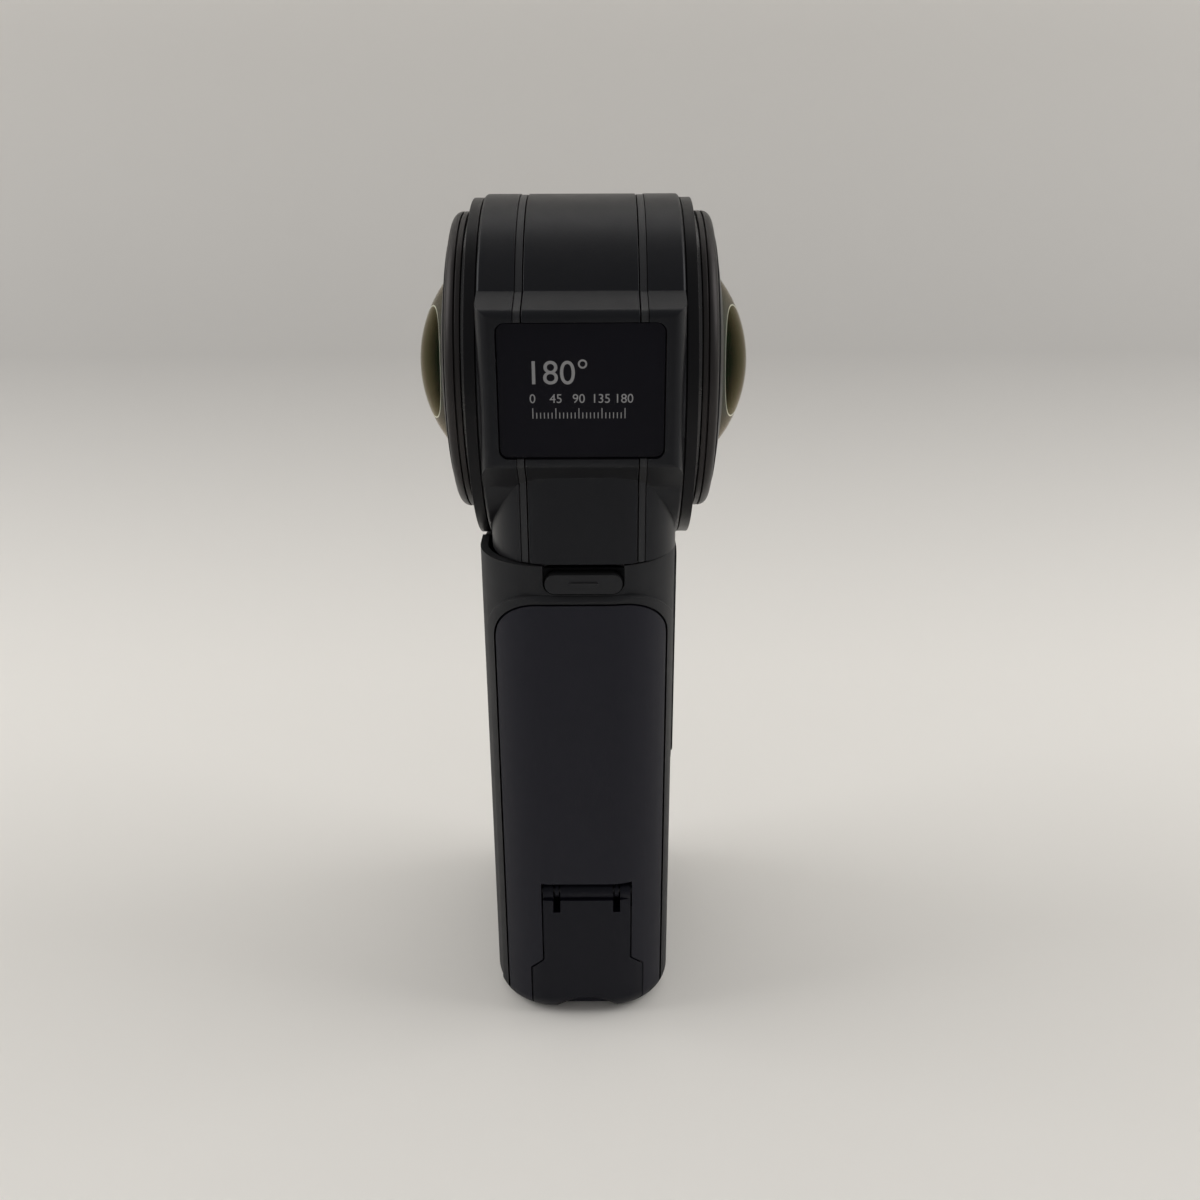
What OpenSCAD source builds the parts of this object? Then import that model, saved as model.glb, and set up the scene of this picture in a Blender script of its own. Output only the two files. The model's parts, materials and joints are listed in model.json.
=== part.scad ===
// Hand-held camera with two fisheye lenses, a round head and a slab-shaped grip.
// X runs along the lens axis, -Y is the front, +Z is up, the base is at zero. All sizes in millimetres.

/* [Overall] */
// Height from the base to the top of the head
total_h = 129.3; // [128:0.1:134]
// Distance between the tips of the two front lenses
lens_span = 49.5; // [48.8:0.1:51]
// Depth by which the round body reaches below the grip's rim
head_sink = 2.3; // [2:0.1:2.6]

/* [Head] */
// Diameter of the head's round body
body_d = 50.8; // [50.4:0.1:52]
// Width of the head between its two side faces
shell_w = 28; // [27.6:0.1:28.6]
// Wall of the head's shells
head_wall = 1.6; // [1.4:0.1:1.8]
// Width of the middle band
band_w = 15.4; // [14:0.1:16.4]
// Width of each trim strip
strip_w = 1; // [0.6:0.1:1.4]
// Depth by which a trim strip lies below the shells
strip_sink = 0.12; // [0.05:0.01:0.2]
// Gap that shows as a dark seam
seam = 0.15; // [0.1:0.01:0.25]
// Edge rounding of the round body
body_edge = 0.5; // [0.3:0.1:0.8]
// Width of the neck
neck_w = 27.2; // [26.6:0.1:27.8]
// Depth of the neck and of the grip
neck_d = 48.2; // [47.6:0.1:49]
// Corner radius of the neck
neck_r = 9.3; // [8:0.1:10]
// Gap between the grip's rim and the neck's lower end
neck_gap = 0.25; // [0.2:0.01:0.35]
// Height of the lens axis above the centre of the round body
lens_rise = 1.1; // [0.8:0.1:1.4]

/* [Window plates] */
// Width of a window plate
plate_w = 22.2; // [20:0.1:23]
// Height of a window plate
plate_h = 18.1; // [16:0.1:19]
// Thickness of a window plate
plate_t = 0.9; // [0.6:0.1:1.1]
// Corner radius of a window plate
plate_r = 1.2; // [0.8:0.1:2]
// Height of the plate's centre above the lens axis
plate_rise = 1.5; // [1:0.1:2.4]
// Depth of the plate below its bezel
plate_sink = 0.5; // [0.3:0.1:0.7]
// Distance by which the bezel stands proud of the round body
bezel_proud = 1.2; // [0.9:0.1:1.6]
// Width of the flat rim at the left and right of a plate
bezel_rim = 0.9; // [0.7:0.05:1.1]
// Width of the flat rim above and below a plate
bezel_lip = 0.5; // [0.4:0.05:0.8]
// Depth over which the bezel's left and right sides round off
bezel_fall = 2.6; // [2:0.1:3]
// Radius of the rounding along the bezel's top and bottom
bezel_crown = 1.3; // [1:0.1:1.6]
// Slope of the bezel's top face in degrees
bezel_slope = 16; // [10:1:22]
// Depth of the bezel's block inside the round body
bezel_root = 9; // [7:0.5:10]

/* [Lens rings] */
// Diameter of the flange ring
flange_d = 49.8; // [49:0.1:50.4]
// Width of the flange ring along the lens axis
flange_w = 1.7; // [1.5:0.1:1.9]
// Depth of the undercut between the flange ring and the head
flange_cut = 0.4; // [0.3:0.05:0.6]
// Chamfer on the edges of the rings
ring_edge = 0.25; // [0.15:0.05:0.35]
// Step from the flange ring's edge to the bright ring's edge
trim_step = 3.5; // [3.2:0.1:3.8]
// Width of the bright ring along the lens axis
trim_w = 0.75; // [0.6:0.05:0.9]
// Step from the flange ring's edge to the guard ring's edge
guard_step = 3; // [2.4:0.1:3.4]
// Height of the lens guard ring along the lens axis
guard_h = 2.4; // [2.3:0.05:2.6]
// Distance from the guard ring's foot to its groove
groove_rise = 0.7; // [0.5:0.05:0.8]
// Width of the groove around the guard ring
groove_w = 0.2; // [0.15:0.01:0.3]
// Depth of the groove around the guard ring
groove_d = 0.5; // [0.3:0.05:0.7]
// Distance over which the guard ring's outer edge is rounded
guard_crown = 1.3; // [1:0.1:1.6]
// Wall of the guard ring's spigot
spigot_wall = 1.2; // [0.9:0.1:1.3]
// Step from the flange ring's edge to the retainer ring's edge
retainer_step = 5.7; // [5.5:0.1:5.9]
// Thickness of the retainer ring's lip
lip_t = 0.2; // [0.15:0.01:0.3]
// Width of the flat on the retainer ring's lip
lip_w = 0.45; // [0.3:0.05:0.6]
// Gap between the retainer ring's lip and the glass
lip_gap = 0.06; // [0.05:0.01:0.1]
// Radius of the front lens's outer surface
dome_r = 19.5; // [19:0.1:20]
// Diameter of the open glass inside the retainer's lip
aperture_d = 26; // [25.4:0.1:26.4]
// Diameter of the front lens
glass_d = 27.9; // [27.6:0.1:28.1]
// Thickness of the front lens on its axis
glass_t = 3.2; // [2.8:0.1:3.6]
// Radius of the front lens's hollow inner surface
hollow_r = 11.5; // [11:0.1:12]
// Diameter of the inner lens
inner_d = 16; // [15:0.1:16.6]
// Thickness of the inner lens at its rim
inner_rim = 1.6; // [1.2:0.1:1.8]
// Radius of the inner lens's outer surface
inner_r = 16; // [15:0.1:18]
// Distance between the seats of the front lens and the inner lens
seat_step = 3.45; // [3.2:0.05:3.7]
// Depth of the front lens's seat behind the guard ring's face
seat_drop = 2.25; // [2.1:0.05:2.4]
// Section diameter of the seal ring
seal_d = 0.7; // [0.6:0.05:0.8]
// Flange thickness of the lens barrel
barrel_flange = 0.8; // [0.7:0.05:0.9]
// Wall of the lens barrel around its narrow end
barrel_wall = 2.5; // [2:0.1:3]
// Width of the shelf that carries the inner lens
lens_shelf = 1; // [0.8:0.1:1.2]
// Chamfer at the mouth of the lens barrel
mouth_edge = 0.7; // [0.5:0.05:0.9]

/* [Inside the head] */
// Thickness of the heat spreader
spreader_t = 3; // [2.4:0.1:3.4]
// Margin between the heat spreader and the head's inside
spreader_margin = 2; // [1.6:0.1:2.6]
// Width of the heat spreader's foot
spreader_foot = 18; // [14:0.5:19]
// Gap between the heat spreader and a sensor board
sensor_gap = 0.9; // [0.6:0.1:1.1]
// Thickness of the circuit boards
board_t = 1; // [0.8:0.1:1.2]
// Width of a sensor board
sensor_board_w = 26; // [24:0.5:28]
// Height of a sensor board
sensor_board_h = 24; // [22:0.5:26]
// Width of an image sensor
sensor_w = 17; // [16:0.1:17.5]
// Height of an image sensor
sensor_h = 13; // [12:0.1:13.5]
// Thickness of an image sensor
sensor_t = 1.5; // [1.2:0.1:1.8]
// Gap between an image sensor and its lens barrel
sensor_clear = 0.9; // [0.6:0.1:1.2]
// Width of the plug between head and grip
plug_w = 12; // [10:0.5:13]
// Depth of the plug between head and grip
plug_d = 6; // [5:0.1:6.5]
// Distance of the plug behind the lens axis
plug_y = 15; // [14.5:0.1:15.5]
// Width of the collar around the plug
plug_collar = 1.5; // [1:0.1:1.8]
// Height of the plug's collar
plug_rise = 1.4; // [1:0.1:1.6]
// Depth by which the plug reaches into the grip
plug_reach = 3; // [2.7:0.1:3.4]

/* [Grip] */
// Corner radius of the grip
grip_r = 10; // [9:0.1:11]
// Rounding of the grip's bottom edge
base_round = 3.5; // [2.5:0.1:3.8]
// Open gap between neck and sleeve on the left
side_gap = 0.8; // [0.6:0.1:1]
// Left wall of the sleeve
left_wall = 1.1; // [1:0.1:1.2]
// Right wall of the sleeve
right_wall = 1.2; // [1:0.1:1.3]
// Front and back wall of the sleeve
front_wall = 1.5; // [1.3:0.1:1.6]
// Floor of the sleeve
floor_t = 2.2; // [2.1:0.1:2.6]
// Height by which the panel and its border stand proud
panel_raise = 0.65; // [0.5:0.05:0.8]
// Width of the bevelled border around the panel
border_w = 1.1; // [0.9:0.1:1.2]
// Width of the border's bevel
border_bevel = 0.75; // [0.6:0.05:0.85]
// Height of the band between panel and rim
band_h = 5.9; // [5.7:0.1:6.2]
// Margin left of the panel
margin_left = 2.3; // [2.2:0.1:2.6]
// Margin right of the panel
margin_right = 1.4; // [1.4:0.1:1.8]
// Corner radius of the panel
panel_r = 6.7; // [6:0.1:7.4]
// Gap around the panel
panel_gap = 0.3; // [0.25:0.01:0.35]
// Height of the panel's lower end above the base
panel_low = 0.8; // [0.6:0.05:1]
// Depth of the panel's lip in front of the sleeve's floor
lip_d = 3; // [2.7:0.1:3.3]
// Width of the ribs inside the sleeve's left wall
rib_w = 2; // [1.5:0.1:2.5]
// Distance of the front rib behind the middle
rib_front = 2; // [1:0.5:3]
// Distance of the back rib behind the middle
rib_back = 14; // [12:0.5:14]
// Distance from the ribs' upper ends to the rim
rib_drop = 12; // [10:0.5:14]

/* [Battery and port door] */
// Depth of the battery pack
battery_d = 17.6; // [17.2:0.1:17.6]
// Wall of the battery case
case_wall = 1.3; // [1.1:0.1:1.4]
// Extra thickness of the battery case's side and top walls
case_extra = 0.6; // [0.4:0.05:0.7]
// Corner radius of the battery case's hollow
case_round = 3; // [2.6:0.1:3]
// Extra thickness of the battery case's front wall
front_extra = 1.4; // [1.2:0.05:1.6]
// Room around the battery cell
cell_room = 0.4; // [0.3:0.05:0.5]
// Height of the space above the battery cell
cell_head = 7; // [6.4:0.1:8]
// Drop from the panel's top to the battery's circuit board
battery_board_drop = 4.5; // [3.8:0.1:5]
// Width of the port door
door_w = 14.1; // [13.6:0.1:14.4]
// Width of the port door's foot
foot_w = 18.2; // [17:0.1:18.6]
// Height of the port door's hinge axis
hinge_z = 23.9; // [23.6:0.1:24.4]
// Depth of the hinge axis behind the panel's face
hinge_depth = 2.15; // [2.05:0.05:2.25]
// Radius of the door's hinge barrel
barrel_r = 1.75; // [1.6:0.05:1.75]
// Radius of the hinge pin
pin_r = 0.6; // [0.5:0.05:0.7]
// Radial room of the door on its hinge pin
pin_room = 0.06; // [0.05:0.01:0.08]
// Length by which the hinge pin is held at each end
pin_hold = 0.6; // [0.5:0.05:1]
// Radius of the hinge lugs
lug_r = 1.2; // [1.1:0.05:1.3]
// Height of the recess above the hinge axis
hinge_recess = 2.5; // [2.3:0.05:2.7]
// Depth of the recess below the hinge barrel
hinge_under = 1.6; // [1.4:0.05:1.8]
// Distance from the hinge axis to the leaf's upper edge
leaf_drop = 0.7; // [0.6:0.05:0.8]
// Thickness of the door leaf
door_t = 1.85; // [1.7:0.05:1.9]
// Width of the slits beside the hinge
slit_w = 1.15; // [1.1:0.05:1.3]
// Distance from the middle to a slit
slit_x = 4.25; // [4:0.05:4.4]
// Lower end of the slits
slit_z = 20.9; // [20.5:0.1:21.4]
// Height where the door's shoulders start
shoulder_z = 11.3; // [10.5:0.1:12]
// Gap around the port door
door_gap = 0.25; // [0.2:0.01:0.3]
// Radius of the finger scoop in the door's foot
scoop_r = 12; // [11:0.5:13]
// Distance of the scoop's centre in front of the panel
scoop_out = 7.2; // [6.5:0.1:8]
// Depth of the scoop's centre below the panel's lower end
scoop_low = 6.8; // [6:0.1:7.5]
// Width of the charging socket
socket_w = 8.94; // [8.6:0.01:9]
// Height of the charging socket
socket_h = 3.2; // [3:0.01:3.3]
// Wall of the charging socket
socket_wall = 0.3; // [0.25:0.01:0.35]
// Length of the charging socket behind the bay
socket_l = 4; // [3.6:0.1:4.2]
// Width of the charging socket's tongue
tongue_w = 6.6; // [6.2:0.1:6.8]
// Thickness of the charging socket's tongue
tongue_t = 0.7; // [0.6:0.01:0.75]
// Width of the charging socket's circuit board
usb_board_w = 16; // [14:0.5:18]
// Width of the port bay
bay_w = 12.4; // [12.2:0.1:12.6]
// Height of the port bay
bay_h = 12.6; // [12.2:0.1:12.8]
// Depth of the port bay behind the door
bay_d = 6.3; // [6.2:0.1:6.6]
// Height of the port bay's middle
bay_z = 11.9; // [11.7:0.1:12.1]
// Corner radius of the port bay
bay_r = 1.5; // [1:0.1:1.6]
// Width of the door's seal
seal_w = 1.2; // [1:0.05:1.3]
// Gap between the door's seal and the bay's wall
seal_gap = 0.4; // [0.3:0.05:0.5]

/* [Buttons and screen] */
// Width of the release button
release_w = 11.15; // [10.4:0.05:11.6]
// Height of the release button
release_h = 2.9; // [2.7:0.05:2.9]
// Distance from the panel's top to the release button
release_rise = 1.85; // [1.8:0.05:1.95]
// Distance by which the release button stands proud
release_proud = 0.5; // [0.3:0.05:0.6]
// Gap around the release button
release_gap = 0.3; // [0.25:0.01:0.32]
// Width of the raised bar on the release button
mark_w = 4.2; // [3.5:0.1:5]
// Height of the raised bar on the release button
mark_h = 0.6; // [0.4:0.05:0.8]
// Thickness of the raised bar on the release button
mark_t = 0.25; // [0.15:0.05:0.3]
// Width of the release slider inside the sleeve
slider_w = 14.4; // [13:0.1:14.6]
// Thickness of the release slider
slider_t = 1.3; // [1.1:0.1:1.5]
// Distance of the release slider behind the sleeve's front wall
slider_drop = 1.1; // [1:0.05:1.3]
// Width of the release slider's tooth
tooth_w = 5; // [4:0.1:6]
// Depth of the release slider's tooth
tooth_d = 2.4; // [2:0.1:2.8]
// Gap between the tooth and the battery pack
tooth_gap = 0.55; // [0.5:0.05:0.6]
// Half width of the release spring
spring_half = 6.4; // [5.6:0.1:6.8]
// Thickness of the release spring
spring_t = 0.2; // [0.15:0.01:0.25]
// Drop from the rim to the shutter button
shutter_drop = 15; // [14.5:0.1:16]
// Distance between the two round buttons
button_step = 14; // [13:0.1:15]
// Radius of the shutter button
shutter_r = 4.6; // [4:0.1:4.7]
// Radius of the power button
power_r = 3.2; // [2.8:0.1:3.4]
// Distance by which the round buttons stand proud
button_proud = 0.5; // [0.3:0.05:0.7]
// Travel of the round buttons
button_travel = 0.5; // [0.3:0.05:0.5]
// Gap around the round buttons
button_gap = 0.3; // [0.25:0.01:0.35]
// Width of the round buttons' flange
button_flange = 0.7; // [0.5:0.05:0.8]
// Thickness of the round buttons' flange
button_flange_t = 0.9; // [0.7:0.05:1]
// Radius of the round buttons' stem
stem_r = 1.2; // [1:0.1:1.5]
// Radius of the switches under the round buttons
switch_r = 2; // [1.6:0.1:2.4]
// Height of the switches under the round buttons
switch_h = 0.5; // [0.4:0.05:0.6]
// Thickness of the switches' circuit board
switch_board_t = 0.8; // [0.6:0.1:1]
// Depth of the switches' circuit board behind the main unit's back
switch_depth = 3.9; // [3.7:0.1:4.2]
// Half width of the switches' circuit board
switch_board_half = 8; // [7.5:0.1:8.4]
// Length of the switches' circuit board past each button
switch_board_end = 8; // [7.6:0.1:8.4]
// Width of the screen's frame
screen_w = 29; // [28:0.1:29.4]
// Height of the screen's frame
screen_h = 38.1; // [36:0.1:39]
// Gap between the screen's frame and the rim
screen_gap = 0.2; // [0.15:0.01:0.3]
// Corner radius of the screen's frame
screen_r = 2.5; // [2:0.1:3]
// Width of the screen frame's border
screen_border = 1.1; // [0.9:0.1:1.3]
// Width of the ledge under the screen's glass
screen_ledge = 1.4; // [1.1:0.1:1.6]
// Distance by which the screen's glass stands proud of the grip's side
screen_proud = 0.4; // [0.3:0.05:0.45]
// Distance by which the glass stands proud of the screen's frame
glass_proud = 0.3; // [0.2:0.05:0.35]
// Thickness of the screen's glass
screen_glass_t = 0.95; // [0.9:0.01:1]
// Floor of the screen's frame
screen_floor = 0.25; // [0.2:0.01:0.3]

/* [Main unit] */
// Gap between the battery pack and the main unit
core_gap = 0.8; // [0.6:0.05:0.9]
// Wall of the main unit
core_wall = 1.3; // [1.1:0.1:1.4]
// Step from the neck's left side to the main unit's left side
core_step = 0.2; // [0.1:0.05:0.3]
// Height of the main unit's floor above the tripod bush
core_rise = 1; // [0.8:0.1:1.2]
// Margin around the main unit's side cover
cover_margin = 1.5; // [1.4:0.1:2]
// Distance of the main board left of the middle
board_left = 6; // [5.6:0.1:6.2]
// Margin between the main board and the main unit's ends
board_margin = 3.2; // [3:0.1:3.6]
// Radius of the posts that carry the main board
post_r = 1.5; // [1.2:0.1:1.6]
// Distance of the posts from the main unit's ends
post_end = 6; // [5:0.5:7]
// Distance of the front posts behind the main unit's front
post_front = 4; // [3.5:0.1:5]
// Distance of the back posts in front of the main unit's back
post_back = 9; // [8.5:0.1:10]
// Radius of the posts that carry the switches' circuit board
switch_post_r = 1.2; // [1:0.1:1.4]
// Half distance between the switches' posts
switch_post_x = 6; // [5.6:0.1:6.4]
// Distance of a switches' post past its button
switch_post_end = 6.4; // [6.2:0.1:6.6]
// Edge length of the processor
chip_w = 12; // [10:0.5:13]
// Thickness of the processor
chip_t = 1.4; // [1.2:0.1:1.5]
// Drop from the main unit's top to the processor's middle
chip_drop = 28.8; // [27:0.1:30]
// Width of the memory chips
memory_w = 9; // [8:0.5:10]
// Height of the memory chips
memory_h = 11; // [10:0.5:11.5]
// Thickness of the memory chips
memory_t = 1.2; // [1:0.1:1.4]
// Drop from the main unit's top to the memory chips' middle
memory_drop = 44.8; // [44:0.1:46]
// Width of the radio's screening can
can_w = 13; // [12:0.5:14]
// Height of the radio's screening can
can_h = 8; // [7:0.5:9]
// Thickness of the radio's screening can
can_t = 2.5; // [2:0.1:3]
// Drop from the main unit's top to the screening can's middle
can_drop = 10.8; // [10:0.1:12]
// Thickness of the heat sink's plate
sink_t = 1.6; // [1.4:0.1:1.8]
// Height of the heat sink's plate
sink_h = 34; // [30:0.5:36]
// Drop from the main unit's top to the heat sink's middle
sink_drop = 35.8; // [34:0.1:37]
// Width of the memory card
card_w = 11; // [10.8:0.1:11.2]
// Length of the memory card
card_l = 15; // [14.8:0.1:15.2]
// Thickness of the memory card
card_t = 0.8; // [0.7:0.05:0.9]
// Wall of the card socket
card_wall = 0.5; // [0.4:0.05:0.6]
// Drop from the main unit's top to the memory card's middle
card_drop = 25.3; // [24:0.1:26]
// Number of spring contacts
pin_count = 5; // [3:1:5]
// Distance between two spring contacts
pin_pitch = 2.4; // [2.2:0.1:2.5]
// Radius of a spring contact's tip
pin_tip_r = 0.5; // [0.4:0.05:0.55]
// Radius of a spring contact's collar and of a battery contact
pin_collar_r = 0.9; // [0.8:0.05:1]
// Length of a spring contact's collar
pin_collar_l = 1.45; // [1.2:0.05:1.6]
// Gap between a spring contact's tip and its battery contact
pin_tip_gap = 0.15; // [0.12:0.01:0.2]
// Distance of the contacts right of the middle
pin_x = 3; // [2:0.1:4]
// Drop from the main unit's top to the middle contact
pin_drop = 40.8; // [40:0.1:42]
// Radius of the speaker
speaker_r = 4.5; // [4:0.1:4.5]
// Thickness of the speaker
speaker_t = 3; // [2.6:0.1:3.4]
// Radius of the speaker's magnet
magnet_r = 3; // [2.5:0.1:3.4]
// Thickness of the speaker's magnet
magnet_t = 2; // [1.6:0.1:2.2]
// Height of the speaker above the main unit's floor
speaker_rise = 18; // [15:0.1:19]
// Radius of a speaker hole
speaker_hole_r = 0.6; // [0.5:0.05:0.7]
// Radius of the ring of speaker holes
speaker_ring_r = 2.6; // [2.2:0.1:2.8]

/* [Fastening] */
// Bore radius of the tripod bush, the tapping size of a quarter-inch camera thread
bush_bore_r = 2.55; // [2.5:0.01:2.6]
// Outer radius of the tripod bush
bush_r = 4.6; // [4.2:0.1:4.8]
// Height of the tripod bush
bush_h = 7; // [6.6:0.1:7.2]
// Width of the tripod bush's collar
bush_collar = 0.9; // [0.7:0.05:1]
// Thickness of the tripod bush's collar
bush_collar_t = 0.75; // [0.6:0.05:0.9]
// Chamfer at the mouth of the tripod bush
bush_edge = 0.65; // [0.5:0.05:0.8]
// Wall of the boss around the tripod bush
bush_wall = 1.5; // [1.3:0.1:1.7]
// Head radius of the grip screws
screw_head_r = 1.9; // [1.7:0.05:2]
// Head thickness of the grip screws
screw_head_t = 1.2; // [1:0.05:1.3]
// Depth of the grip screws' heads below the base
screw_sink = 0.3; // [0.2:0.05:0.4]
// Shank radius of the grip screws
screw_r = 1; // [0.9:0.05:1.05]
// Length of the grip screws inside the main unit
screw_bite = 3; // [2.5:0.1:3.3]
// Wall of the bosses around the grip screws
screw_wall = 1.2; // [1:0.05:1.3]
// Half distance between the left and right grip screws
screw_x = 9.3; // [9:0.1:9.5]
// Distance of the front grip screws behind the middle
screw_front = 0.5; // [0:0.1:1]
// Distance of the back grip screws behind the middle
screw_back = 16.5; // [16:0.1:16.5]
// Shank radius of the head screws
small_screw_r = 0.7; // [0.6:0.05:0.75]
// Head radius of the head screws
small_head_r = 1.3; // [1.2:0.05:1.35]
// Head thickness of the head screws
small_head_t = 0.8; // [0.7:0.05:0.9]
// Length of the head screws inside the middle band
small_bite = 2.6; // [2.2:0.1:2.8]
// Radius of the bosses around the head screws
small_boss_r = 1.7; // [1.6:0.05:1.8]
// Distance of the head screws from the head's inside
small_inset = 1.2; // [1.1:0.1:1.4]
// Depth of the sockets in the screw heads
drive_depth = 0.45; // [0.3:0.05:0.5]

/* [Clearances] */
// Room left where one piece sits beside another
fit = 0.1; // [0.08:0.01:0.12]
// Room left under a piece that rests on another
rest = 0.05; // [0.04:0.01:0.06]

/* [Hidden] */
$fn = 96;

// Length by which forms of one piece run into each other
join = 0.05;
// Length that carries a cut past the surface it starts at
over = 1;
// Size that carries a cut past the whole object
far = 2 * total_h;
// Shortening that keeps a fully round end from closing up
tiny = 0.01;
// Steps of each rounding on the bezels
bezel_steps = 8;

body_r = body_d / 2;
body_z = total_h - body_r;
lens_z = body_z + lens_rise;
grip_h = total_h - body_d + head_sink;
face_x = shell_w / 2;
neck_z = grip_h + neck_gap;
front_y = neck_d / 2;
bezel_y = body_r + bezel_proud;
plate_z = lens_z + plate_rise;
pocket_y = bezel_y - plate_sink - plate_t;
band_x = band_w / 2;
strip_x0 = band_x + seam;
strip_x1 = strip_x0 + strip_w;
shell_x0 = strip_x1 + rest;
cavity_r = body_r - head_wall;
cavity_x = face_x - head_wall;
plate_floor_z = neck_z + head_wall;
plug_top = plate_floor_z + plug_rise;

flange_x = face_x + flange_w;
trim_x = flange_x + trim_w;
guard_x = trim_x + guard_h;
groove_x = trim_x + groove_rise;
flange_r = flange_d / 2;
trim_r = flange_r - trim_step;
guard_r = flange_r - guard_step;
retainer_r = flange_r - retainer_step;
guard_in_r = retainer_r + fit;
spigot_r = guard_in_r + spigot_wall;
ring_in_r = spigot_r + fit;
glass_r = glass_d / 2;
barrel_out_r = glass_r + rest;
retainer_in_r = barrel_out_r + fit;
lens_bore_r = barrel_out_r + 2 * fit;
aperture_r = aperture_d / 2;
tip_x = lens_span / 2;
seat_x = guard_x - seat_drop;
inner_seat_x = seat_x - seat_step;
hollow_c = tip_x - glass_t - hollow_r;
spreader_x = spreader_t / 2;
sensor_board_x = spreader_x + sensor_gap;
sensor_x = sensor_board_x + board_t;
barrel_rear_x = sensor_x + sensor_t + sensor_clear;
small_place_r = cavity_r - small_inset;

grip_left = -(neck_w / 2 + side_gap + left_wall);
grip_right = neck_w / 2;
grip_mid = (grip_left + grip_right) / 2;
inner_left = grip_left + left_wall;
inner_right = grip_right - right_wall;
inner_y = front_y - front_wall;
inner_corner = grip_r - right_wall;
panel_left = grip_left + margin_left;
panel_right = grip_right - margin_right;
panel_top = grip_h - band_h;
panel_y = front_y + panel_raise;
body_low = floor_t + panel_gap;

battery_back = -panel_y + battery_d;
core_front = battery_back + core_gap;
core_left = -(neck_w / 2 - core_step);
core_right = inner_right - 2 * fit;
core_back = inner_y - 2 * fit;
core_low = bush_h + core_rise;
core_top = grip_h;
core_corner = inner_corner - 2 * fit;
cover_y0 = core_front + cover_margin;
cover_y1 = core_back - inner_corner - 2 * fit;
cover_z0 = core_low + cover_margin;
cover_z1 = core_top - cover_margin;
main_x = -board_left;
main_y = core_front + core_wall + join * 12;
card_x = main_x + board_t + card_wall;
card_z = core_top - card_drop - card_w / 2;
pin_z = core_top - pin_drop;
speaker_z = core_low + speaker_rise;

screen_x = grip_right + screen_proud;
screen_top = grip_h - screen_gap;
screen_z = screen_top - screen_h;
screen_frame_x = core_right + fit;
screen_seat_x = screen_x - screen_glass_t - rest;
screen_inset = screen_border + screen_ledge;

hinge_y = -panel_y + hinge_depth;
recess_top = hinge_z + hinge_recess;
door_in_y = -panel_y + door_t;
foot_z = shoulder_z - (foot_w - door_w) / 2;
bay_floor_y = door_in_y + bay_d;
bay_back = bay_floor_y + case_wall;
cell_low = recess_top + case_wall + 2 * cell_room;
cell_left = panel_left + case_wall + case_extra;
cell_right = panel_right - case_wall - case_extra;
cell_front = -inner_y + case_wall + front_extra;
case_low = body_low + case_wall;
case_top = panel_top - case_wall - case_extra;

release_low = panel_top + release_rise;
release_top = release_low + release_h;
release_face = front_y + release_proud;
slider_y = -inner_y + slider_drop;
slider_top = release_top - join;

shutter_z = grip_h - shutter_drop;
power_z = shutter_z - button_step;
switch_y = core_back - switch_depth;

shell_c = [0.06, 0.06, 0.065];
trim_c = [0.12, 0.12, 0.13];
ring_c = [0.1, 0.1, 0.11];
bright_c = [0.55, 0.55, 0.57];
glass_c = [0.35, 0.42, 0.3, 0.5];
gloss_c = [0.03, 0.03, 0.035];
board_c = [0.05, 0.22, 0.12];
metal_c = [0.7, 0.71, 0.73];
gold_c = [0.8, 0.65, 0.3];
rubber_c = [0.04, 0.04, 0.04];

// Height of the front lens's outer surface at a radius
function glass_x(r) = tip_x - dome_r + sqrt(dome_r * dome_r - r * r);

// Centred rectangle with round corners
module rounded_rect(w, h, r) {
    square([w - 2 * r, h], center = true);
    square([w, h - 2 * r], center = true);
    for (sx = [-1, 1], sy = [-1, 1])
        translate([sx * (w / 2 - r), sy * (h / 2 - r)]) circle(r);
}

// Rounded rectangle given by its edges
module edge_rect(x0, x1, y0, y1, r) {
    translate([(x0 + x1) / 2, (y0 + y1) / 2]) rounded_rect(x1 - x0, y1 - y0, r);
}

// Box given by its edges
module box(x0, x1, y0, y1, z0, z1) {
    translate([x0, y0, z0]) cube([x1 - x0, y1 - y0, z1 - z0]);
}

// Outline in X and Z, extruded from y0 to y1
module along_y(y0, y1) {
    translate([0, y1, 0]) rotate([90, 0, 0]) linear_extrude(y1 - y0) children();
}

// Outline in Y and Z, extruded from x0 to x1
module along_x(x0, x1) {
    translate([x0, 0, 0]) rotate([90, 0, 90]) linear_extrude(x1 - x0) children();
}

// Cylinder along Y
module rod_y(r, y0, y1) {
    translate([0, y1, 0]) rotate([90, 0, 0]) cylinder(r = r, h = y1 - y0);
}

// Cylinder along X
module rod_x(r, x0, x1) {
    translate([x0, 0, 0]) rotate([0, 90, 0]) cylinder(r = r, h = x1 - x0);
}

// What is drawn for the right side, put on one side
module on_side(side) {
    mirror([side < 0 ? 1 : 0, 0, 0]) children();
}

// Profile of radius and distance, turned about an axis along X at a height
module turned(side, z) {
    translate([0, 0, z]) rotate([0, side * 90, 0]) rotate_extrude() children();
}

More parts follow.
